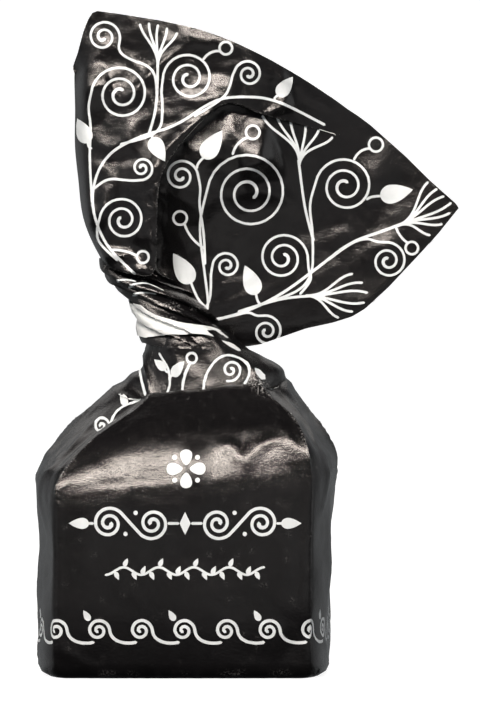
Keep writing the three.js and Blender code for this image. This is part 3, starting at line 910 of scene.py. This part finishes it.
# where across the front the panel leans back gently instead of bending all at once
gentle = curve([[-14, 0.0], [-12, 0.25], [-6.5, 0.8], [-2.5, 1.0], [-0.6, 0.95], [0.6, 0.3], [1.6, 0.35], [3.2, 0.9], [5.2, 0.75], [6.1, 0.1], [7.6, 0.7], [10.0, 0.8], [12.6, 0.1], [14, 0.0]])
hood_left = curve([[19, -14.2], [22, -14.2], [23.6, -13.8], [25.4, -12.4], [27.1, -10.6], [28.5, -8.5], [30, -5.6], [31.2, -4.1]])
hood_right = curve([[18, 13.5], [20.6, 13.65], [23.7, 13.15], [26.8, 11.85], [29.3, 9.5], [31.2, 7.8]])
# Gathering: the share of the sheet's width left at each height, as the folds take the rest.
gather = curve([[-20, 1], [20, 1], [24, 0.95], [28, 0.76], [31.2, 0.58], [32.8, 0.46], [34.6, 0.38], [37.2, 0.33], [41.5, 0.26]])
MID_S = 30.0  # the middle of the front panel
LAP = (-36.0, 91.0)  # the sheet's two upright edges; the second laps over the first on the back
NECK_RINGS = [
    # (level, right x, left x, depth, roundness, middle z, left z, right z)
    (32.9, 10.9, -6.7, 6.6, 0.72, 30.2, 32.9, 33.05),
    (34.7, 10.05, -4.9, 6.3, 0.66, 31.6, 33.6, 33.95),
    (37.0, 8.4, -4.4, 5.8, 0.7, 34.0, 35.2, 34.8),
    (39.4, 6.0, -4.2, 5.22, 0.8, 36.5, 37.2, 35.9),
    (41.4, 4.8, -4.0, 4.6, 0.85, 38.0, 38.8, 37.4),
]
FLAPS = {"front": (0.03, 16.5), "back": (0.24, 14.5), "left": (0.46, 12.5), "right": (0.46, 11.5)}


def wall_ring(f, side, level):
    """A point of the level outline of the walls, hood and side folds."""
    step = 1.7 * smooth(20.5, 28, level) * mix(1, 0.75, smooth(29, HOOD_TOP, level))
    y = panel_out(level)
    tuck = np.where(side > 0, 0.97, 1.0)
    fold = np.where(f < 0.5, hood_right(level), hood_left(level)) * tuck
    e = np.minimum(f, 1 - f)
    rise = 1.0 * (1 - np.clip(e / SIDE, 0, 1)) ** 1.5 * smooth(23, HOOD_TOP, level)
    g = np.clip((f - SIDE) / (1 - 2 * SIDE), 0, 1)
    panel = e >= SIDE
    px = hood_right(level) * tuck * (1 - g) + hood_left(level) * tuck * g
    foot = y - step
    y = mix(panel_bent(level), y, np.where(panel, gentle(np.where(side > 0, -px, px)), 0.0))
    foot = np.minimum(foot, y - step)
    py = y + 0.3 * np.sin(math.pi * g)
    lift = 0.115 * np.where(panel, px, fold * np.clip(e / SIDE, 0, 1) ** 1.5) * smooth(15, 24, level)
    z = level + rise + lift
    out = np.where(f < 0.5, wall_right(z), wall_left(z))
    rim_width = STEP * np.clip(step / 1.2, 0.002, 1)
    b = np.clip(1 - e / (SIDE - rim_width), 0, 1)
    # from the panel's end a wall turns away sharply and then bulges
    power = mix(3.4, 1.7, smooth(22, 29, level))
    sx = fold + (out - fold) * (1 - (1 - b) ** power)
    sy = foot * (1 - b ** 1.15)
    rim = (e > SIDE - rim_width) & ~panel
    part = np.clip((e - SIDE + rim_width) / rim_width, 0, 1)
    # the hood's edge curls a little over the side fold
    curl = 0.35 * smooth(22, 26, level) * np.sin(math.pi * part) * np.where(f < 0.5, 1, -1)
    x = np.where(panel, px, np.where(rim, fold - curl * 0.4, sx))
    yy = np.where(panel, py, np.where(rim, mix(foot, y, part), sy))
    return x, yy * side, z


def sheet_s(p):
    """Where round the walls a point of the flat sheet goes."""
    return MID_S + (p[:, 0]) / gather(p[:, 1])


def walls_plain(p):
    s, v = sheet_s(p), p[:, 1]
    u = np.mod(s, AROUND) / AROUND
    side = np.where(u > 0.5, 1.0, -1.0)
    f = np.where(u > 0.5, 2 * (1 - u), 2 * u)
    x, y, z = wall_ring(f, side, np.clip(v, 0, HOOD_TOP))
    # rounded base edge, then flat underneath
    turn = np.clip((BASE_ROUNDING - v) / BASE_ROUNDING, 0, 1) * math.pi / 2
    inset = BASE_ROUNDING * (1 - np.cos(turn))
    shrink = inset + np.clip(-v, 0, 0.9)
    flap = np.clip(-v - 0.9, 0, None)
    on_panel = np.minimum(f, 1 - f) > SIDE
    x = x * (1 - shrink / 16) + np.where(on_panel, 0, np.where(f < 0.5, -flap, flap))
    y = y * (1 - shrink / 15) + np.where(on_panel, -side * flap, 0)
    low = BASE_ROUNDING * (1 - np.sin(turn))
    layer = np.where(on_panel, np.where(side < 0, FLAPS["front"][0], FLAPS["back"][0]), FLAPS["left"][0])
    z = np.where(v < BASE_ROUNDING, low + layer * smooth(0.3, -2.2, v) + 0.02, z)
    # above the hood's top: over the fold, down behind it, and up into the neck
    up = v > HOOD_TOP
    if np.any(up):
        fu, su, vu = f[up], side[up], v[up]
        e = np.minimum(fu, 1 - fu)
        x0, y0, z0 = wall_ring(fu, su, np.full(fu.shape, HOOD_TOP))
        rings = [(HOOD_TOP, x0, y0, z0)]
        wl, wr = smooth(0.66, 1, fu), 1 - smooth(0, 0.34, fu)
        for level, rx, lx, yd, power, zf, zl, zr in NECK_RINGS:
            rx_ = rx + (lx - rx) * (1 - np.cos(math.pi * fu)) / 2
            ry_ = su * yd * np.sin(math.pi * fu) ** power
            rz_ = zf + (zl - zf) * wl + (zr - zf) * wr + 0.09 * (rx_ - 2) * (1 - wl - wr)
            rings.append((level, rx_, ry_, rz_))
        hood = smooth(SIDE - 0.035, SIDE + 0.01, e)
        x1 = mix(rings[0][1], rings[1][1], 0.38)
        y1 = mix(rings[0][2], rings[1][2], 0.42)
        z1 = mix(rings[0][3], rings[1][3], 0.4) + 0.52 * hood
        rings.insert(1, (31.75, x1, y1, z1))
        at = np.array([r[0] for r in rings])
        values = np.array([[r[1], r[2], r[3]] for r in rings])  # ring, axis, point
        tangent = np.empty_like(values)
        tangent[1:-1] = (values[2:] - values[:-2]) / (at[2:] - at[:-2])[:, None, None]
        tangent[0] = (values[1] - values[0]) / (at[1] - at[0])
        tangent[-1] = (values[-1] - values[-2]) / (at[-1] - at[-2])
        i = np.clip(np.searchsorted(at, vu, side="right") - 1, 0, len(at) - 2)
        h = at[i + 1] - at[i]
        t = np.clip((vu - at[i]) / h, 0, 1)
        n = np.arange(len(vu))
        t2, t3 = t * t, t ** 3
        got = ((2 * t3 - 3 * t2 + 1) * values[i, :, n].T + (t3 - 2 * t2 + t) * h * tangent[i, :, n].T
               + (-2 * t3 + 3 * t2) * values[i + 1, :, n].T + (t3 - t2) * h * tangent[i + 1, :, n].T)
        x[up], y[up], z[up] = got
    return np.column_stack([x, y, z])


WALL_RIDGES = [
    # on the front panel, in front view: (line, width, height, sharp)
    ([(6.33, 26.46), (6.00, 25.14), (5.78, 24.04), (6.00, 22.50)], 0.4, -0.26, True),
    ([(3.02, 24.91), (4.34, 25.57), (5.45, 24.91), (5.67, 23.38)], 0.7, 0.16, False),
    ([(6.99, 23.82), (8.09, 25.57), (10.06, 26.23), (12.27, 24.91)], 0.7, 0.16, False),
    ([(-1.38, 26.89), (2.92, 27.34), (8.09, 27.23), (11.17, 27.66)], 0.9, 0.10, False),
    ([(9.62, 28.00), (10.95, 26.68), (12.38, 25.02)], 0.5, 0.16, True),
    ([(-14.57, 3.58), (-11.71, 2.04), (-8.42, 0.17)], 0.3, 0.22, True),
    ([(15.68, 7.32), (12.27, 4.24), (8.96, 0.28)], 1.4, -0.3, False),
    ([(-10.84, 19.64), (-11.94, 13.04), (-11.28, 6.43)], 2.2, 0.16, False),
    ([(10.95, 19.64), (11.82, 13.04), (10.51, 6.43)], 2.2, 0.18, False),
    ([(-7.54, 13.04), (0.17, 13.92), (7.87, 12.38)], 2.6, -0.15, False),
    ([(-4.24, 5.33), (3.46, 6.21), (11.17, 4.90)], 2.4, 0.12, False),
    ([(-14.13, 22.50), (-14.24, 15.23), (-14.36, 8.63), (-14.36, 3.14)], 0.5, 0.14, False),
    ([(13.70, 22.05), (13.26, 15.23), (12.93, 8.63), (13.14, 3.14)], 0.5, 0.14, False),
]


SIDE_RIDGES = [
    # on the right side, seen from there: (line of (y, z) points in millimetres, width, height, sharp)
    ([(-1.8, 31.6), (-3.4, 27.5), (-6.6, 22.4)], 0.55, 0.42, True),
    ([(2.2, 31.6), (3.2, 28.2), (5.6, 23.6)], 0.6, 0.36, True),
    ([(0.2, 31.4), (-0.4, 28.4), (0.6, 25.6)], 0.5, 0.26, True),
    ([(-5.4, 30.6), (-7.6, 27.6), (-11.2, 25.6)], 0.5, 0.3, True),
    ([(5.6, 30.4), (8.0, 27.0), (11.4, 24.6)], 0.5, 0.3, True),
    ([(-13.4, 21.8), (-8.2, 23.4), (-3.4, 22.0), (0.8, 22.8)], 0.5, 0.26, True),
    ([(1.2, 22.6), (6.2, 21.4), (13.2, 22.8)], 0.7, 0.24, False),
    ([(-13.6, 17.4), (-11.2, 20.2), (-11.8, 24.2)], 0.6, 0.3, True),
    ([(13.4, 16.2), (10.8, 19.8), (11.6, 24.0)], 0.7, 0.26, False),
    ([(-9.6, 19.4), (-9.0, 12.6), (-10.2, 5.8)], 1.3, 0.2, False),
    ([(8.6, 18.4), (9.4, 11.6), (8.2, 5.0)], 1.4, 0.18, False),
    ([(-6.2, 14.6), (0.4, 16.2), (6.8, 14.8)], 1.8, -0.16, False),
    ([(-12.6, 4.6), (-8.4, 2.6), (-5.2, 0.8)], 0.4, 0.22, True),
    ([(12.4, 5.2), (9.0, 2.8), (6.6, 0.8)], 0.4, 0.2, True),
]


def walls_place(p):
    at = walls_plain(p)
    e = 0.02
    du = (walls_plain(p + (e, 0)) - walls_plain(p - (e, 0)))
    dv = (walls_plain(p + (0, e)) - walls_plain(p - (0, e)))
    normal = np.cross(dv, du)
    normal /= np.maximum(1e-9, np.linalg.norm(normal, axis=1))[:, None]
    s, v = sheet_s(p), p[:, 1]
    u = np.mod(s, AROUND) / AROUND
    f = np.where(u > 0.5, 2 * (1 - u), 2 * u)
    edge = np.minimum(f, 1 - f)
    front = u <= 0.5
    sides = 1 - smooth(SIDE - 0.06, SIDE, edge)
    shoulder = smooth(21, 26, v)
    neck = smooth(HOOD_TOP + 0.8, HOOD_TOP + 2.5, v)
    above = smooth(0.5, 3, v)
    # the seam between noises is hidden under the lap
    a = s / 7.5
    out = (0.14 + 0.12 * sides) * above * (1 - neck) * 1.6 * noise(a * 0.85, v / 8.0, 51)
    out += 0.10 * above * crumple(s / 8, v / 6, 52) * (1 + 0.6 * sides) * (1 - neck)
    out += 0.02 * crumple(s / 2.6, v / 2.6, 53) * above * (1 + sides)
    out += sides * shoulder * (1 - neck) * 0.38 * crumple(s / 12, v / 9, 54) * smooth(0, 0.07, SIDE - edge)
    out += (1 - sides) * smooth(29.3, 31, v) * (1 - neck) * 0.16 * crumple(s / 3.4, v / 2.2, 55)
    out += neck * (0.17 * crumple(s / 17, v / 11, 56) + 0.03 * crumple(s / 5, v / 3, 59) + 0.14 * np.sin(s / 2.9 + 1.5 * noise(s / 12, v / 4, 57)) * smooth(36.0, 38, v))
    x, z = at[:, 0], at[:, 2]
    ridges = np.zeros(len(p))
    flat_front = front & (v < HOOD_TOP) & (v > 0.5)
    for line, width, height, sharp in WALL_RIDGES:
        ridges[flat_front] += ridge(x[flat_front], z[flat_front], line, width, height, sharp)
    # the same kind of folds on the back, turned about
    flat_back = ~front & (v < HOOD_TOP) & (v > 0.5)
    for line, width, height, sharp in WALL_RIDGES[:9]:
        ridges[flat_back] += ridge(-x[flat_back] - 0.6, z[flat_back], line, width, height, sharp)
    # gathers down the two sides
    y = at[:, 1]
    for rows, turn in (((u < SIDE / 2) | (u > 1 - SIDE / 2), 1), (np.abs(u - 0.5) < SIDE / 2, -1)):
        m = rows & (v > 0.5) & (v < HOOD_TOP + 0.4)
        for line, width, height, sharp in SIDE_RIDGES:
            ridges[m] += ridge(turn * y[m] + (0.0 if turn > 0 else 0.7), z[m], line, width, height, sharp) * smooth(0, 0.03, SIDE - edge[m]) * smooth(HOOD_TOP + 0.4, HOOD_TOP - 1.8, v[m])
    ridges -= sides * shoulder * (1 - neck) * smooth(0, 0.05, SIDE - edge) * np.where(f > 0.5, 0.7, 0.45)
    # upright folds at the ends of the neck's front
    nf = front & (v > HOOD_TOP)
    ridges[nf] += ridge(x[nf], z[nf], [(-4.12, 30.41), (-4.34, 33.94), (-4.57, 36.69)], 0.4, 0.55, True)
    ridges[nf] += ridge(x[nf], z[nf], [(8.09, 30.86), (7.42, 33.27), (6.11, 35.04)], 0.5, 0.4, True)
    ridges[nf] += ridge(x[nf], z[nf], [(-3.14, 35.91), (-0.28, 35.80), (3.02, 35.91)], 0.35, 0.3, True)
    ridges[nf] += ridge(x[nf], z[nf], [(-1.38, 30.20), (-0.49, 32.84), (-1.38, 35.48)], 0.6, 0.22, True)
    out += ridges
    # one upright edge laps over the other
    out += 0.14 * smooth(LAP[0] + AROUND - 1.5, LAP[0] + AROUND + 0.3, s) * np.where(v < 0, 0.4, 1)
    out *= np.where(v < 0.6, 0.25 * smooth(-1, 0.6, v) + 0.0, 1)
    # the base's flaps wrinkle a little, upwards only
    under = v < -0.3
    at = at + normal * out[:, None]
    at[under, 2] += 0.11 * np.clip(0.5 + crumple(at[under, 0] / 7, at[under, 1] / 7, 58), 0, 1) * smooth(-0.3, -2.5, v[under])
    at[:, 2] = np.maximum(at[:, 2], 0.005)
    at_fold = ridge(x, z, [(6.33, 32.29), (7.42, 32.62), (8.53, 31.07)], 0.6, 1.0, False) * (v > 29)
    wear = np.maximum(at_fold, 0.5 * np.exp(-((v - HOOD_TOP - 0.3) / 0.3) ** 2) * (1 - sides) * smooth(0.0, 0.35, noise(s / 2.5, v, 63)))
    wear = np.maximum(wear, 0.55 * np.exp(-((edge - SIDE) / 0.003) ** 2) * smooth(22, 25, v) * (1 - neck) * (0.5 + noise(v / 1.4, s, 64)))
    wear = np.maximum(wear, 0.12 * neck * smooth(0.25, 0.5, noise(s / 3, v / 1.2, 65)))
    wear = np.maximum(wear, 0.3 * np.exp(-((v - 0.4) / 0.35) ** 2) * smooth(0.0, 0.4, noise(s / 3, v, 66)))
    wear = np.maximum(wear, 0.08 * smooth(0.25, 0.55, noise(s * 1.3, v * 1.3, 67)) * above)
    return at, wear, s


def panel_at(x, z, back=False):
    """The point of the flat sheet that goes to (x, z) on the front panel."""
    x, z = np.asarray(x, float), np.asarray(z, float)
    level = z.copy()
    for _ in range(6):
        level = z - 0.115 * x * smooth(15, 24, level)
    hr, hl = hood_right(level), hood_left(level)
    g = (hr - x) / (hr - hl)
    f = SIDE + g * (1 - 2 * SIDE)
    s = f * AROUND / 2
    if back:
        s = AROUND - s
    return np.column_stack([(s - MID_S) * gather(level), level])


def label_print():
    """Plain ornament on the front panel: a small flower, a symmetrical scroll and a vine."""
    out = []

    def put(shapes):
        for p in shapes:
            out.append(panel_at(p[:, 0], p[:, 1])[::-1])

    # four-petal flower with a dot between each two petals
    cx, cz = (-0.06, 22.93)
    for k in range(4):
        a = math.radians(90 * k)
        t = np.linspace(0, 2 * math.pi, 25)[:-1]
        petal = np.column_stack([1.25 + 0.85 * np.cos(t), 0.62 * np.sin(t) * (1 + 0.35 * np.cos(t))])
        turn = np.array([[math.cos(a), math.sin(a)], [-math.sin(a), math.cos(a)]])
        put([petal.dot(turn) + (cx, cz)])
        dot = np.column_stack([1.75 + 0.27 * np.cos(t[::2]), 0.27 * np.sin(t[::2])])
        a += math.radians(45)
        turn = np.array([[math.cos(a), math.sin(a)], [-math.sin(a), math.cos(a)]])
        put([dot.dot(turn) + (cx, cz)])
    # symmetrical scroll
    cx, cz = (-0.17, 17.00)
    ring = np.linspace(0, 2 * math.pi, 13)[:-1]
    for hand in (1, -1):
        row = []
        row += spiral((cx + 3.55, cz), 1.8, 1.9, -30, -1, 0.34, tail=[(cx + 5.93, cz)])
        row += spiral((cx + 8.3, cz), 1.8, 1.9, 150, -1, 0.34, tail=[(cx + 5.93, cz)])
        row += stem((cx + 0.75, cz), (cx + 1.3, cz), (cx + 1.8, cz), width=0.3)
        row += leaf((cx + 10.0, cz), 0, 2.2, 1.15, 0.45, sway=0.0)
        row += [np.column_stack([cx + 5.93 + dx + 0.24 * np.cos(ring), cz + dz + 0.24 * np.sin(ring)]) for dx, dz in ((0.55, -1.15), (-0.55, 1.15))]
        if hand < 0:
            row = turned(row, np.array([cx, cz]), 0, mirror=True)
        put(row)
    put([np.array([(cx - 0.6, cz), (cx, cz - 1.25), (cx + 0.6, cz), (cx, cz + 1.25)])])
    # vine
    cx, cz = (-0.17, 11.82)
    t = np.linspace(-1, 1, 60)
    wave = np.column_stack([cx + 8.6 * t, cz + 0.42 * np.sin(t * 4.5 * math.pi)])
    put([stroke(wave, 0.26)])
    for k in range(-8, 9):
        x = cx + 8.6 * k / 9
        zz = cz + 0.42 * math.sin(k / 9 * 4.5 * math.pi)
        put(leaf((x, zz), 65 if k % 2 else -65, 0.95, 0.5, 0.12))
    return out


def border_print():
    """A running border of small scrolls that goes right round the walls."""
    out = []
    n = 26
    pitch = AROUND / n
    for k in range(-8, 20):
        x = (k + 0.5) * pitch - 30.0
        if x < LAP[0] - MID_S + 2.4:
            continue
        y = 5.35
        t = np.linspace(0, 1, 34)
        a = math.pi * (1.0 - 3.3 * t)
        r = 1.25 * (1 - 0.86 * t)
        scroll = np.column_stack([x + r * np.cos(a), y + r * np.sin(a)])
        lead = bezier((x - pitch + 0.55, y - 1.3), (x - pitch + 1.6, y - 1.55), (x - 1.35, y - 1.3), tuple(scroll[0]))
        out.append(stroke(np.vstack([lead[:-1], scroll]), 0.34))
        if k % 2 == 0:
            out += leaf((x + 0.9, y + 1.0), 60, 1.3, 0.7, 0.1)
    seam = LAP[1] - MID_S - 0.2
    return [np.column_stack([np.minimum(p[:, 0], seam + 0.001 * np.sin(np.arange(len(p)))), p[:, 1]]) for p in out]


def neck_print_and_painted_highlight():
    """A spiral, leaves and a ring printed on the neck above the hood, a small spiral on the left side fold, and a
    painted highlight: a short white stroke down the neck's left end.
    """
    out = []
    span = (-11.5, 11.5), (32.0, 40.2)
    place = walls_plain
    shapes = []
    shapes += spiral((4.79, 33.49), 1.25, 1.5, 250, 1, 0.27)
    shapes += [stroke(rounded([(1.71, 30.41), (1.93, 33.05), (3.69, 35.26), (6.11, 34.81), (6.99, 33.27), (6.33, 31.96)], 3), 0.27)]
    shapes += stem((-2.48, 30.30), (-1.81, 31.96), (-2.04, 33.72), (-3.14, 35.26), width=0.27)
    shapes += leaf((-1.93, 32.40), 52, 2.1, 1.15, 0.5)
    shapes += leaf((-2.04, 33.27), 140, 1.7, 0.95, 0.4)
    shapes += ringed((0.49, 34.81), 0.55, (-0.49, 30.64), width=0.27, sway=0.4)
    # painted highlight: a short white stroke in the print's white, along the upright fold at the neck's left end
    shapes += [stroke(rounded([(-5.45, 34.16), (-5.22, 33.05), (-4.67, 30.86)], 2), 0.3, tail=0.6)]
    shapes += [stroke(rounded([(7.42, 33.49), (7.97, 32.95), (8.53, 32.51)], 2), 0.7, tip=0.2, tail=0.2)]
    folds = spiral((-9.73, 28.00), 0.95, 1.4, 20, 1, 0.27, tail=[(-5.33, 30.64), (-7.09, 30.20), (-8.42, 29.09)])
    folds += leaf((-6.88, 29.86), 118, 1.5, 0.85, 0.3)
    for group, where in ((shapes, span), (folds, ((8.0, 26.0), (23.0, 33.5)))):
        for p in group:
            q = find_on(place, p, *where, n=320)
            q = q + 0.02 * np.random.RandomState(2).rand(*q.shape)
            out.append(q)
    return out


def body():
    step = 0.62
    wide = lambda s, v: ((s - MID_S) * gather(v), v)
    top_v = 41.2
    vs = np.arange(-0.9, top_v, 0.35)
    left_edge = np.column_stack([(LAP[0] - MID_S) * gather(vs), vs])
    right_edge = np.column_stack([(LAP[1] - MID_S) * gather(vs), vs])
    top = np.column_stack([np.linspace(left_edge[-1, 0], right_edge[-1, 0], 90), np.full(90, vs[-1])])
    # the lower edge, with its four flaps; corners are where two walls meet
    c = [SIDE * 60, 60 - SIDE * 60, 60 + SIDE * 60, 120 - SIDE * 60]

    def flap(s0, s1, depth, lean=2.6):
        return [(s0 + 0.06, -0.9), (s0 + 0.2, -2.0), (s0 + lean, -depth), (s1 - lean, -depth), (s1 - 0.2, -2.0), (s1 - 0.06, -0.9)]

    low = []
    b0 = LAP[0]
    low += [(b0, -FLAPS["back"][1]), (c[3] - 120 - 7.0, -FLAPS["back"][1]), (c[3] - 120 - 0.2, -2.0), (c[3] - 120 - 0.06, -0.9)]
    low += flap(c[3] - 120, c[0], FLAPS["right"][1], 4.5)
    low += flap(c[0], c[1], FLAPS["front"][1], 6.5)
    low += flap(c[1], c[2], FLAPS["left"][1], 4.5)
    low += [(c[2] + 0.06, -0.9), (c[2] + 0.2, -2.0), (c[2] + 6.0, -FLAPS["back"][1] + 0.4), (LAP[1], -FLAPS["back"][1] + 0.4)]
    low = np.array(low)
    low[:, 0] -= MID_S
    low = resample(low, 0.5)
    down = lambda x, n: np.column_stack([np.full(n, x), np.linspace(-0.9, low[0, 1], n)])
    outline = np.vstack([
        left_edge[::-1][:-1], down(left_edge[0, 0], 26)[:-1], low[:-1],
        down(right_edge[0, 0], 26)[::-1][:-1] if abs(low[-1, 1]) > 1 else low[-1:],
        right_edge[:-1], top[::-1][:-1],
    ])
    levels = np.r_[np.arange(20.5, 41.1, 0.4)]
    lines = []
    for k, corner in enumerate([c[3] - 120, c[0], c[1], c[2]]):
        sign = -1 if k in (0, 2) else 1
        for shift in (0.0, -STEP * 60 * 0.5, -STEP * 60):
            # the step lies just outside the panel
            inside_panel = 1 if k in (1, 3) else -1
            s = corner + shift * inside_panel
            lines.append(np.column_stack([(s - MID_S) * gather(levels[:28]), levels[:28]]))
    lines = [l for l in lines if np.all(l[:, 0] > (LAP[0] - MID_S) * gather(l[:, 1]) + 0.1)]
    fine = lambda x, y: (y > 23.5) | ((np.abs(x) < 16.5) & (y > 20))
    # ink holds the white print and, from the neck, one painted highlight stroke
    ink = label_print() + border_print() + neck_print_and_painted_highlight()
    flat, tris, kind = cut(outline, ink, [], spacing=step, fine=fine, creases=lines, seed=7)
    at, wear, s = walls_place(flat)
    return [(at, tris[:, ::-1], kind)], [wear]


# ------------------------------------------------------------------ make the pieces
for name, (parts, wear) in (("wrapper_fan", fan()), ("wrapper_twist", twist()), ("wrapper_body", body())):
    piece = make(name, parts, wear)
    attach(piece, "root")
    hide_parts("wrapped_truffle")
    print(name, len(piece.data.polygons), "triangles")

# ------------------------------------------------------------------ camera, floor and studio light
scene = bpy.context.scene
scene.view_settings.view_transform = "Standard"
scene.view_settings.look = "None"

camera = bpy.data.cameras.new("camera")
camera.lens = 361
camera.clip_start, camera.clip_end = 0.01, 10
view = bpy.data.objects.new("camera", camera)
scene.collection.objects.link(view)
target = Vector((5.8, 0, 34.5)) * MM
away, lift = 0.800, math.radians(1.0)
view.location = target + Vector((0, -away * math.cos(lift), away * math.sin(lift)))
view.rotation_euler = (target - view.location).to_track_quat("-Z", "Y").to_euler()
scene.camera = view

world = bpy.data.worlds.new("world")
scene.world = world
world.use_nodes = True
world.node_tree.nodes["Background"].inputs["Color"].default_value = (0.9, 0.95, 1.0, 1)
world.node_tree.nodes["Background"].inputs["Strength"].default_value = 0.03


def disc(name, radius, z, segments=96):
    bm = bmesh.new()
    bmesh.ops.create_circle(bm, cap_ends=True, segments=segments, radius=radius)
    bmesh.ops.translate(bm, verts=bm.verts, vec=(0, 0, z))
    mesh = bpy.data.meshes.new(name)
    bm.to_mesh(mesh)
    bm.free()
    o = bpy.data.objects.new(name, mesh)
    scene.collection.objects.link(o)
    return o


def plain_white(name, colour, glow):
    m, nodes, links, bsdf = material(name)
    bsdf.inputs["Base Color"].default_value = (*colour, 1)
    bsdf.inputs["Roughness"].default_value = 0.9
    bsdf.inputs["Specular IOR Level"].default_value = 0.0
    bsdf.inputs["Emission Color"].default_value = (1, 1, 1, 1)
    bsdf.inputs["Emission Strength"].default_value = glow
    return m


STUDIO = 2.2  # radius of the floor and the backdrop, m

floor = disc("floor", STUDIO, 0.0)
white = plain_white("floor_white", (0.3, 0.3, 0.3), 0.9)
nodes, links = white.node_tree.nodes, white.node_tree.links
far = nodes.new("ShaderNodeVectorMath")
far.operation = "LENGTH"
links.new(nodes.new("ShaderNodeTexCoord").outputs["Object"], far.inputs[0])
links.new(to_range(nodes, links, far.outputs["Value"], 0.04, 0.3, 0.9, 1.02), nodes["Principled BSDF"].inputs["Emission Strength"])
floor.data.materials.append(white)
floor.visible_glossy = False
floor.visible_diffuse = False

bm = bmesh.new()
bmesh.ops.create_cone(bm, cap_ends=False, segments=96, radius1=STUDIO, radius2=STUDIO, depth=2 * STUDIO)
mesh = bpy.data.meshes.new("backdrop")
bm.to_mesh(mesh)
bm.free()
backdrop = bpy.data.objects.new("backdrop", mesh)
backdrop.location = (0, 0, STUDIO - 0.001)
scene.collection.objects.link(backdrop)
backdrop.data.materials.append(plain_white("backdrop_white", (0.5, 0.5, 0.5), 1.0))
backdrop.visible_glossy = False
backdrop.visible_diffuse = False
backdrop.visible_shadow = False


def softbox(name, azimuth, elevation, distance, width, height, power, colour=(1, 1, 1)):
    """An area light; azimuth 0 is in front and positive is to the right."""
    light = bpy.data.lights.new(name, "AREA")
    light.shape = "RECTANGLE"
    light.size, light.size_y = width, height
    light.energy = power
    light.color = colour
    o = bpy.data.objects.new(name, light)
    o.visible_camera = False
    a, e = math.radians(azimuth), math.radians(elevation)
    middle = Vector((0, 0, 0.03))
    o.location = middle + distance * Vector((math.sin(a) * math.cos(e), -math.cos(a) * math.cos(e), math.sin(e)))
    o.rotation_euler = (middle - o.location).to_track_quat("-Z", "Y").to_euler()
    scene.collection.objects.link(o)
    return o


softbox("key", -9, 38, 0.55, 0.44, 0.05, 5.0, (1.0, 0.93, 0.87))
softbox("key_left", -56, 36, 0.55, 0.22, 0.05, 0.45, (1.0, 0.95, 0.9))
softbox("fill_left", -46, 8, 0.8, 0.3, 0.5, 0.2, (0.93, 0.97, 1.0))
softbox("fill", 24, 5, 0.9, 0.8, 0.5, 0.31, (0.93, 0.97, 1.0))
bounce = softbox("bounce", 0, 0, 0.14, 0.26, 0.16, 0.06)
bounce.location.z, bounce.rotation_euler = 0.001, (math.pi, 0, 0)
softbox("left", -78, 18, 0.6, 0.3, 0.5, 0.14, (0.93, 0.97, 1.0))
softbox("right", 78, 18, 0.6, 0.3, 0.5, 0.4, (0.93, 0.97, 1.0))
for side in (-1, 1):
    softbox("side", side * 95, 6, 0.9, 0.9, 0.7, 0.3, (0.95, 0.98, 1.0))
    softbox("wall", side * 122, 10, 0.8, 0.9, 0.9, 0.34 - 0.07 * side, (0.95, 0.98, 1.0))
    softbox("rear", side * 152, 6, 0.9, 1.0, 0.7, 0.46, (0.95, 0.98, 1.0))
softbox("back", 180, 45, 0.7, 0.8, 0.5, 1.1, (1.0, 0.97, 0.94))
